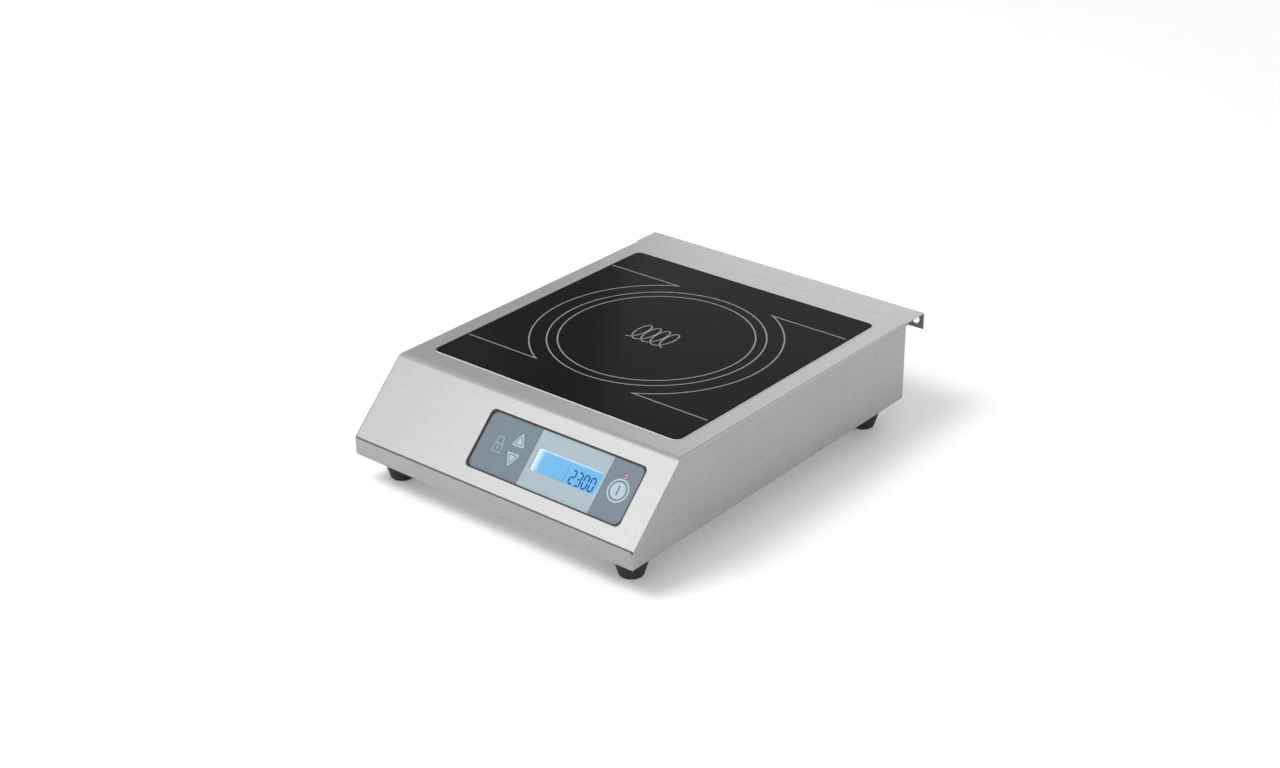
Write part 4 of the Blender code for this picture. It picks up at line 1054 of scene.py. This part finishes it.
@dataclass
class Screws:
    """Pan-head screws with a cross recess, in three groups."""

    small: tuple[float, float, float] = (1.6 * MM, 3.2 * MM, 2.0 * MM)
    large: tuple[float, float, float] = (2.0 * MM, 4.4 * MM, 3.0 * MM)

    @staticmethod
    def _shape(name: str, size: tuple[float, float, float], length: float) -> bpy.types.Object:
        """Returns one screw, seated at the origin with its shank upwards."""
        shank, head, height = size
        profile = [(head * 0.12, -height)]
        for k in range(1, 7):
            angle = math.pi / 2 * k / 6
            profile.append((head * math.sin(angle), -height * (0.35 + 0.65 * math.cos(angle))))
        profile += [(head, 0.0), (shank, 0.0), (shank, length - shank), (shank * 0.3, length)]
        made = thing(name, turned(profile, 40))
        for turn in (0.0, math.pi / 2):
            arm = (head * 0.62, head * 0.13, height * 0.6)
            blade = block((-arm[0], -arm[1], -height * 1.2), (arm[0], arm[1], -height + arm[2]))
            blade.transform(Matrix.Rotation(turn, 4, "Z"))
            cut(made, thing("blade", blade))
        return made

    def build(self, repeat: Repeater) -> None:
        """Places the screws of the base plate, the rear panel and the feet."""
        quarter = math.pi / 2
        groups = (
            ("foot_screw", self.large, 20 * MM, 0.0),
            ("base_screw", self.small, 9 * MM, 0.0),
            ("rear_screw", self.small, 9 * MM, quarter),
        )
        for kind, size, length, turn in groups:
            nodes = sorted(name for name in frame["nodes"] if name.startswith(kind))
            seats = []
            for node in nodes:
                low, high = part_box(node)
                middle = (low + high) / 2
                if turn:
                    seats.append((middle.x, high.y - size[2], middle.z))
                else:
                    seats.append((middle.x, middle.y, low.z + size[2]))
            shape = self._shape(kind, size, length)
            made = repeat.on_points(f"{kind}s", shape, seats, (turn, 0.0, 0.0), SCREW_STEEL)
            bpy.data.objects.remove(shape, do_unlink=True)
            place(made, "screw_steel", nodes)


# ================================ glass ==========================================================
@dataclass
class GlassTop:
    """The black glass plate with its ground edge and its printed zone marks."""

    corner: float = 7.5 * MM
    bevel: float = 1.2 * MM
    print_height: float = 0.04 * MM
    line: float = 1.25 * MM
    ring_radii: Point2 = (100.1 * MM, 90.2 * MM)
    arc_radius: float = 115.4 * MM
    arc_end: float = 61.3
    line_end: float = 137 * MM
    symbol_pitch: float = 10.65 * MM
    symbol_radii: Point2 = (7.25 * MM, 15.2 * MM)
    symbol_turns: int = 4
    symbol_crossing: float = -54.0
    symbol_gap: float = 6.5

    def build(self) -> None:
        """Builds the plate and its print."""
        low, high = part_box("glass_plate")
        size = (high.x - low.x, high.y - low.y)
        centre = ((low.x + high.x) / 2, (low.y + high.y) / 2)
        top = high.z - self.print_height
        heights = (
            (low.z, -0.4 * MM),
            (low.z + 0.4 * MM, 0.0),
            (top - self.bevel, 0.0),
            (top - self.bevel * 0.3, -self.bevel * 0.3),
            (top, -self.bevel),
        )
        loops = []
        for z, spread in heights:
            side = (size[0] + 2 * spread, size[1] + 2 * spread)
            loops.append(level(rectangle(side, self.corner + spread, centre, 12), z))
        plate = thing("glass_top", loft(loops), BLACK_GLASS)
        plate.data.materials.append(GROUND_EDGE.material())
        for face in plate.data.polygons:
            face.material_index = int(abs(face.normal.z) < 0.9)
        place(settle(plate, 20), "ceramic_glass", ["glass_plate"])
        self._print(top)

    def _print(self, top: float) -> None:
        """Prints the rings, the broken outer arc with its lines, and the coil symbol."""
        low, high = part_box("coil_winding")
        centre = ((low.x + high.x) / 2, (low.y + high.y) / 2)
        floor, roof = top + 0.005 * MM, top + self.print_height
        bm = bmesh.new()
        for radius in self.ring_radii:
            outer = circle(radius, 160)
            inner = circle(radius - self.line, 160)
            loops = [level(outer, floor), level(outer, roof), level(inner, roof), level(inner, floor)]
            add_loft(bm, loops, closed=True)
        for side in (-1, 1):
            end = self.arc_end
            path = arc(self.arc_radius, -end, end, 64)
            path = [(self.line_end, path[0][1])] + path + [(self.line_end, path[-1][1])]
            shape = [(side * x, y) for x, y in band(path, self.line)]
            add_loft(bm, [level(shape, floor), level(shape, roof)])
        for number, stroke in enumerate(self._symbol()):
            shape = band(stroke, self.line)
            height = roof - 0.01 * MM * (number % 2)
            add_loft(bm, [level(shape, floor), level(shape, height)])
        marks = thing("glass_marks", bm, GLASS_PRINT)
        marks.data.transform(Matrix.Translation((*centre, 0.0)))
        place(settle(marks), "ceramic_glass")

    def _symbol(self) -> list[Outline]:
        """Returns the strokes of a coil seen from its side, broken where it passes behind."""
        start, end = -90.0, 270.0 + 360.0 * (self.symbol_turns - 1)
        before = self.symbol_crossing - self.symbol_gap
        after = self.symbol_crossing + self.symbol_gap
        spans = [(start, before)]
        for turn in range(self.symbol_turns):
            base = 360.0 * turn
            spans.append((base + after, base + 90.0))
            spans.append((base + 90.0, min(base + 360.0 + before, end)))
        return [self._helix(*span) for span in spans]

    def _helix(self, start: float, end: float) -> Outline:
        """Returns the coil's line from one angle to another, in degrees."""
        steps = max(int((end - start) / 8), 2)
        middle = (self.symbol_turns * self.symbol_pitch) / 2
        points = []
        for k in range(steps + 1):
            angle = start + (end - start) * k / steps
            turn = math.radians(angle)
            drift = self.symbol_pitch * angle / 360
            x = drift - middle + self.symbol_radii[0] * math.cos(turn)
            points.append((x, self.symbol_radii[1] * math.sin(turn)))
        return points


# ================================ control panel ==================================================
@dataclass
class ControlPanel:
    """The film in its window, the keys and their signs, and the display."""

    gasket_gap: float = 0.1 * MM
    gasket_width: float = 1.5 * MM
    gasket_depth: float = 0.35 * MM
    gasket_corner: float = 6.5 * MM
    divisions: Point2 = (22.9 * MM, 101.2 * MM)
    print_height: float = 0.03 * MM
    print_gap: float = 0.004 * MM
    key_gap: float = 0.06 * MM
    power_ring: Point2 = (10.5 * MM, 9.0 * MM)
    power_disc: float = 7.35 * MM
    power_bar: Point2 = (1.75 * MM, 8.6 * MM)
    arrow_insets: tuple[float, float, float] = (0.1 * MM, 1.3 * MM, 2.3 * MM)
    lock_body: Point2 = (10 * MM, 9 * MM)
    lock_line: float = 1.1 * MM
    lock_keyhole: Point2 = (1.3 * MM, 4.2 * MM)
    light_radii: tuple[float, float, float] = (2.2 * MM, 1.9 * MM, 1.15 * MM)
    corner: float = 5 * MM
    display_edge: Point2 = (0.6 * MM, 1.4 * MM)
    digit_size: Point2 = (4.4 * MM, 11.7 * MM)
    digit_pitch: float = 7.0 * MM
    digit_start: Point2 = (6.2 * MM, -8.7 * MM)
    rule_start: Point2 = (-5.4 * MM, -0.5 * MM)
    rule_size: Point2 = (0.75 * MM, 15.8 * MM)
    digit_stroke: float = 1.45 * MM
    # How far the display's painted highlight reaches from its left and upper edges.
    highlight_band: Point2 = (9.5 * MM, 2.2 * MM)
    window: Window = Window()

    def build(self, slope: SlopeFrame) -> None:
        """Builds the panel from its film down to the display."""
        self.slope = slope
        self.low, self.high = slope.box("panel_overlay")
        self.face = self.high.z
        self.ink = self.face + self.print_height
        self._film()
        self._signs()
        self._display()
        self._light()

    def _middle(self, node: str) -> Point2:
        """Returns the middle of a CAD node in the slope's X and Y."""
        low, high = self.slope.box(node)
        return ((low.x + high.x) / 2, (low.y + high.y) / 2)

    def _triangle(self, node: str, inset: float, corner: float) -> Outline:
        """Returns an arrow key's outline, made smaller all round by inset."""
        low, high = self.slope.box(node)
        middle = (low.x + high.x) / 2
        trim = 0.8 * MM
        slant = math.hypot(7 * MM, 13 * MM) / (7 * MM)
        reach = trim * (slant - 1)
        if node == "key_up":
            corners = [(low.x - 0.6 * MM, low.y), (high.x + 0.6 * MM, low.y), (middle, high.y + reach)]
        else:
            corners = [(middle, low.y - reach), (high.x + 0.6 * MM, high.y), (low.x - 0.6 * MM, high.y)]
        return rounded(moved(corners, -inset), max(corner, 0.05 * MM), 6)

    def _ink(self, name: str, shape: Outline, finish: Finish, body: str, lift: float = 0.0) -> None:
        """Prints one filled shape."""
        mark = thing(name, prism(shape, self.face + self.print_gap + lift, self.ink + lift), finish)
        place(settle(self.slope.lay(mark)), "panel_film", body=body)

    def _outline(self, name: str, outer: Outline, inner: Outline, finish: Finish, body: str) -> None:
        """Prints the band between two outlines."""
        mark = thing(name, ring(outer, inner, self.face + self.print_gap, self.ink), finish)
        place(settle(self.slope.lay(mark)), "panel_film", body=body)

    def _film(self) -> None:
        """Builds the film in its three areas, open for the keys, the display and the light."""
        size = (self.high.x - self.low.x, self.high.y - self.low.y)
        outline = rectangle(size, self.corner, self.window.centre, 10)
        bm = prism(outline, self.low.z, self.high.z)
        for x in self.divisions:
            parts = list(bm.verts) + list(bm.edges) + list(bm.faces)
            bmesh.ops.bisect_plane(bm, geom=parts, plane_co=(x, 0, 0), plane_no=(1, 0, 0))
        film = thing("printed_film", bm)
        power = self.slope.box("key_power")
        radius = (power[1].x - power[0].x) / 2 + self.key_gap
        lock = self.slope.box("key_lock")
        lock_size = tuple(lock[1][i] - lock[0][i] + 2 * self.key_gap for i in (0, 1))
        shapes = [
            circle(radius, 96, self._middle("key_power")),
            rectangle(lock_size, 3.2 * MM, self._middle("key_lock"), 8),
            self._triangle("key_up", -self.key_gap, 1 * MM),
            self._triangle("key_down", -self.key_gap, 1 * MM),
            circle(self.light_radii[0], 40, self._middle("status_led")),
            self._display_outline(),
        ]
        for shape in shapes:
            cut(film, thing("opening", prism(shape, self.low.z - 1 * MM, self.high.z + 1 * MM)))
        film.data.materials.clear()
        for finish in (FILM_DARK, FILM_LIGHT):
            film.data.materials.append(finish.material())
        left, right = self.divisions
        for face in film.data.polygons:
            face.material_index = int(left < face.center.x < right)
        place(settle(self.slope.lay(film)), "panel_film", ["panel_overlay"])
        self._gasket()

    def _gasket(self) -> None:
        """Fills the gap between the window's edge and the film with a black bead."""
        outlines = (
            self.window.outline(self.gasket_gap),
            self.window.outline(self.gasket_width, self.gasket_corner),
        )
        bead = ring(*outlines, self.face + 0.01 * MM, -self.gasket_depth)
        place(settle(self.slope.lay(thing("window_gasket", bead, GASKET))), "silicone")

    def _display_outline(self, spread: float = 0.0) -> Outline:
        """Returns the display's opening, made larger all round by spread."""
        size = tuple(2 * (half + spread) for half in self._display_half())
        return rectangle(size, 1 * MM, self._middle("display_window"), 6)

    def _signs(self) -> None:
        """Dresses the key pads in the dark film's finish and prints their signs."""
        for node in ("key_power", "key_up", "key_down", "key_lock"):
            frame["nodes"][node].data.materials.clear()
            frame["nodes"][node].data.materials.append(FILM_DARK.material())
        middle = self._middle("key_power")
        outer, inner = (circle(radius, 96, middle) for radius in self.power_ring)
        self._outline("power_ring", outer, inner, PRINT_PALE, BODY)
        self._ink("power_disc", circle(self.power_disc, 96, middle), PRINT_PALE, "key_power_pad")
        bar = rectangle(self.power_bar, 0.3 * MM, middle, 4)
        self._ink("power_bar", bar, FILM_DARK, "key_power_pad", self.print_height)
        for node in ("key_up", "key_down"):
            outer = self._triangle(node, self.arrow_insets[0], 0.95 * MM)
            inner = self._triangle(node, self.arrow_insets[1], 0.1 * MM)
            self._outline(f"{node}_outline", outer, inner, PRINT_PALE, f"{node}_pad")
            core = self._triangle(node, self.arrow_insets[2], 0.2 * MM)
            self._ink(f"{node}_core", core, PRINT_PALE, f"{node}_pad")
        self._padlock()

    def _padlock(self) -> None:
        """Prints the padlock: a body outline, a shackle and a keyhole."""
        x, y = self._middle("key_lock")
        body = "key_lock_pad"
        middle = (x, y - 3.2 * MM)
        outer = rectangle(self.lock_body, 0.8 * MM, middle, 4)
        hollow = tuple(side - 2 * self.lock_line for side in self.lock_body)
        inner = rectangle(hollow, 0.3 * MM, middle, 4)
        self._outline("lock_body", outer, inner, PRINT_FAINT, body)
        top = y + 1.5 * MM
        bow = 3.2 * MM
        path = [(x - bow, top), (x - bow, top + 2 * MM)]
        path += arc(bow, 180, 0, 16, (x, top + 2.6 * MM))
        path += [(x + bow, top + 2 * MM), (x + bow, top)]
        self._ink("lock_shackle", band(path, self.lock_line), PRINT_FAINT, body)
        hole = rectangle(self.lock_keyhole, 0.5 * MM, middle, 4)
        self._ink("lock_keyhole", hole, PRINT_FAINT, body)

    def _display(self) -> None:
        """Builds the display: its shell below, and the lit pane with its figures."""
        low, high = self.slope.box("lcd_module")
        size = (high.x - low.x, high.y - low.y)
        outline = rectangle(size, 1 * MM, self._middle("lcd_module"), 4)
        shell = thing("lcd_shell", prism(outline, low.z, high.z), LCD_SHELL)
        place(settle(self.slope.lay(shell)), "lcd_blue", ["lcd_module"])
        low, high = self.slope.box("display_window")
        centre = self._middle("display_window")
        size = (high.x - low.x, high.y - low.y)
        half = self._display_half()
        pane = thing("lit_pane", prism(rectangle(size, 1.2 * MM, centre, 4), low.z, high.z))
        turn = self.slope.matrix.to_3x3()
        # The pane glows; its paler left and upper edges are a painted highlight for the lit walls of the opening.
        light = PaneGlowWithHighlight(
            "lcd_backlight",
            centre[0] - half[0],
            self.highlight_band[0],
            tuple(self.slope.matrix @ Vector((0.0, centre[1] + half[1], high.z))),
            tuple(turn @ Vector((0.0, 1.0, 0.0))),
            self.highlight_band[1],
        )
        pane.data.materials.append(light.material())
        place(settle(self.slope.lay(pane)), "display_clear", ["display_window"])
        self._figures(high.z)

    def _display_half(self) -> Point2:
        """Returns half the size of the display's opening."""
        low, high = self.slope.box("display_window")
        return tuple((high[i] - low[i]) / 2 - self.display_edge[i] for i in (0, 1))

    def _figures(self, top: float) -> None:
        """Lays four seven-segment figures and a dividing line on the display."""
        bm = bmesh.new()
        lit = {"2": "abged", "3": "abgcd", "0": "abcdef"}
        x0, y0 = self._middle("lcd_module")
        x0 += self.digit_start[0]
        y0 += self.digit_start[1]
        width, height = self.digit_size
        half = height / 2
        ends = {
            "a": ((0, height), (width, height)),
            "b": ((width, height), (width, half)),
            "c": ((width, half), (width, 0)),
            "d": ((0, 0), (width, 0)),
            "e": ((0, 0), (0, half)),
            "f": ((0, half), (0, height)),
            "g": ((0, half), (width, half)),
        }
        layers = (top + 0.01 * MM, top + 0.05 * MM)
        for i, figure in enumerate("2300"):
            x = x0 + i * self.digit_pitch
            for key in lit[figure]:
                start, end = (Vector(point) for point in ends[key])
                run = (end - start).normalized() * (self.digit_stroke / 2 - 0.1 * MM)
                path = [tuple(start + run), tuple(end - run)]
                shape = [(x + px, y0 + py) for px, py in self._segment(*path)]
                add_loft(bm, [level(shape, z) for z in layers])
        figures = thing("lcd_figures", bm, LCD_DIGIT)
        place(settle(self.slope.lay(figures)), "lcd_blue")
        x, low = x0 + self.rule_start[0], y0 + self.rule_start[1]
        shape = band([(x, low), (x, low + self.rule_size[1])], self.rule_size[0])
        rule = thing("lcd_rule", prism(shape, *layers), LCD_RULE)
        place(settle(self.slope.lay(rule)), "lcd_blue")

    def _segment(self, start: Point2, end: Point2) -> Outline:
        """Returns one figure segment with pointed ends."""
        a, b = Vector(start), Vector(end)
        run = (b - a).normalized()
        half = self.digit_stroke / 2
        side = Vector((-run.y, run.x)) * half
        tip = run * half * 0.8
        points = (a - tip * 0.6, a + tip * 0.4 - side, b - tip * 0.4 - side, b + tip * 0.6)
        return [tuple(p) for p in (*points, b - tip * 0.4 + side, a + tip * 0.4 + side)]

    def _light(self) -> None:
        """Gives the signal light a pale rim round its red core."""
        low, high = self.slope.box("status_led")
        centre = self._middle("status_led")
        _, outer, inner = self.light_radii
        rim = ring(circle(outer, 40), circle(inner, 40), low.z, high.z - 0.2 * MM)
        rim.transform(Matrix.Translation((*centre, 0.0)))
        place(settle(self.slope.lay(thing("led_rim", rim, LED_RIM))), "led_red", ["status_led"])
        profile = [(1.1 * MM, low.z), (1.1 * MM, high.z - 0.35 * MM), (0.8 * MM, high.z - 0.1 * MM)]
        profile.append((0.2 * MM, high.z))
        core = turned(profile, 32)
        core.transform(Matrix.Translation((*centre, 0.0)))
        place(settle(self.slope.lay(thing("led_core", core, LED_CORE))), "led_red")


# ================================ studio =========================================================
@dataclass(frozen=True)
class LightPanel:
    """A square of soft light that faces the object.

    Attributes:
        name: the lamp's name.
        way: the direction in which it hangs from the object.
        distance: how far off, in metres.
        size: the square's side.
        radiance: its brightness.
        diffuse: whether it lights matt surfaces.
        glossy: whether it shows in shiny ones.
    """

    name: str
    way: tuple[float, float, float]
    distance: float
    size: float
    radiance: float
    diffuse: bool = True
    glossy: bool = True

    def hang(self) -> None:
        """Adds the lamp to the scene."""
        light = bpy.data.lights.new(self.name, "AREA")
        light.shape = "SQUARE"
        light.size = self.size
        light.energy = self.radiance * math.pi * self.size**2
        lamp = bpy.data.objects.new(self.name, light)
        way = Vector(self.way).normalized()
        lamp.location = way * self.distance
        lamp.rotation_euler = (-way).to_track_quat("-Z", "Y").to_euler()
        lamp.visible_camera = False
        lamp.visible_diffuse = self.diffuse
        lamp.visible_glossy = self.glossy
        bpy.context.scene.collection.objects.link(lamp)


@dataclass
class Studio:
    """Floor, light and camera."""

    camera_place: tuple[float, float, float] = (1.0694, -1.2912, 0.8943)
    heading: float = 39.81
    tilt: float = 26.39
    roll: float = -0.63
    lens: float = 58.0
    floor_size: float = 14.0

    def build(self) -> None:
        """Sets up everything round the object."""
        self._floor()
        self._world()
        self._lamps()
        self._camera()

    def _floor(self) -> None:
        """Lays a plain pale floor."""
        half = self.floor_size / 2
        white = (0.93, 0.93, 0.93)
        finish = Finish("lit_floor", white, 0.7, grain=0.01, contrast=0.0, relief=0.0, glow=0.17)
        floor = thing("floor", block((-half, -half, -0.02), (half, half, 0.0)), finish)

    @staticmethod
    def _world() -> None:
        """Fills the room with soft light."""
        world = bpy.data.worlds.new("room")
        world.use_nodes = True
        back = world.node_tree.nodes["Background"]
        back.inputs["Color"].default_value = (1.0, 1.0, 1.0, 1.0)
        back.inputs["Strength"].default_value = 0.6
        bpy.context.scene.world = world
        bpy.context.scene.view_settings.view_transform = "Standard"

    @staticmethod
    def _lamps() -> None:
        """Hangs the soft panels: one key light, and panels that show in the steel."""
        lamps = (
            LightPanel("overhead_key", (-0.3, -0.44, 0.85), 3.0, 1.4, 8.6, glossy=False),
            LightPanel("slope_panel", (-0.35, -0.6, 0.72), 2.6, 2.2, 1.9, diffuse=False),
            LightPanel("slope_fill", (0.35, -0.6, 0.72), 2.6, 2.2, 1.2, diffuse=False),
            LightPanel("deck_fill", (0.62, 0.66, 0.42), 3.0, 2.3, 0.8, diffuse=False),
            LightPanel("bend_panel", (-0.6, 0.22, 0.74), 2.6, 2.0, 0.5, diffuse=False),
            LightPanel("deck_panel", (-0.28, 0.88, 0.4), 3.0, 2.3, 0.95, diffuse=False),
        )
        for lamp in lamps:
            lamp.hang()

    def _camera(self) -> None:
        """Puts the camera at the height and angle of a person before a worktop."""
        data = bpy.data.cameras.new("camera")
        data.lens = self.lens
        data.sensor_width = 36.0
        camera = bpy.data.objects.new("camera", data)
        yaw, pitch, roll = (math.radians(v) for v in (self.heading, self.tilt, self.roll))
        flat = math.cos(pitch)
        ahead = Vector((-math.sin(yaw) * flat, math.cos(yaw) * flat, -math.sin(pitch)))
        right = Vector((math.cos(yaw), math.sin(yaw), 0.0))
        up = right.cross(ahead)
        across = right * math.cos(roll) + up * math.sin(roll)
        above = up * math.cos(roll) - right * math.sin(roll)
        turn = Matrix((across, above, -ahead)).transposed().to_4x4()
        camera.matrix_world = Matrix.Translation(self.camera_place) @ turn
        bpy.context.scene.collection.objects.link(camera)
        bpy.context.scene.camera = camera


# ================================ the whole ======================================================
def dress_frame() -> None:
    """Gives every CAD node the finish of its material slot."""
    for part in frame["record"]["subparts"]:
        mesh = frame["nodes"][part["node"]].data
        mesh.materials.clear()
        mesh.materials.append(SLOT_FINISH[part["material_slot"]].material())
        for face in mesh.polygons:
            face.material_index = 0
    LOG.info("dressed %d frame nodes", len(frame["nodes"]))


def main() -> None:
    """Builds every piece in order."""
    logging.basicConfig(level=logging.INFO, format="%(name)s: %(message)s")
    dress_frame()
    slope = SlopeFrame()
    repeat = Repeater()
    Housing().build(slope)
    RearPanel().build(repeat)
    foot = Foot()
    for node in sorted(name for name in frame["nodes"] if name.startswith("foot_")):
        if "screw" not in node:
            foot.build(node)
    Screws().build(repeat)
    GlassTop().build()
    ControlPanel().build(slope)
    Studio().build()


if __name__ == "__main__":
    main()
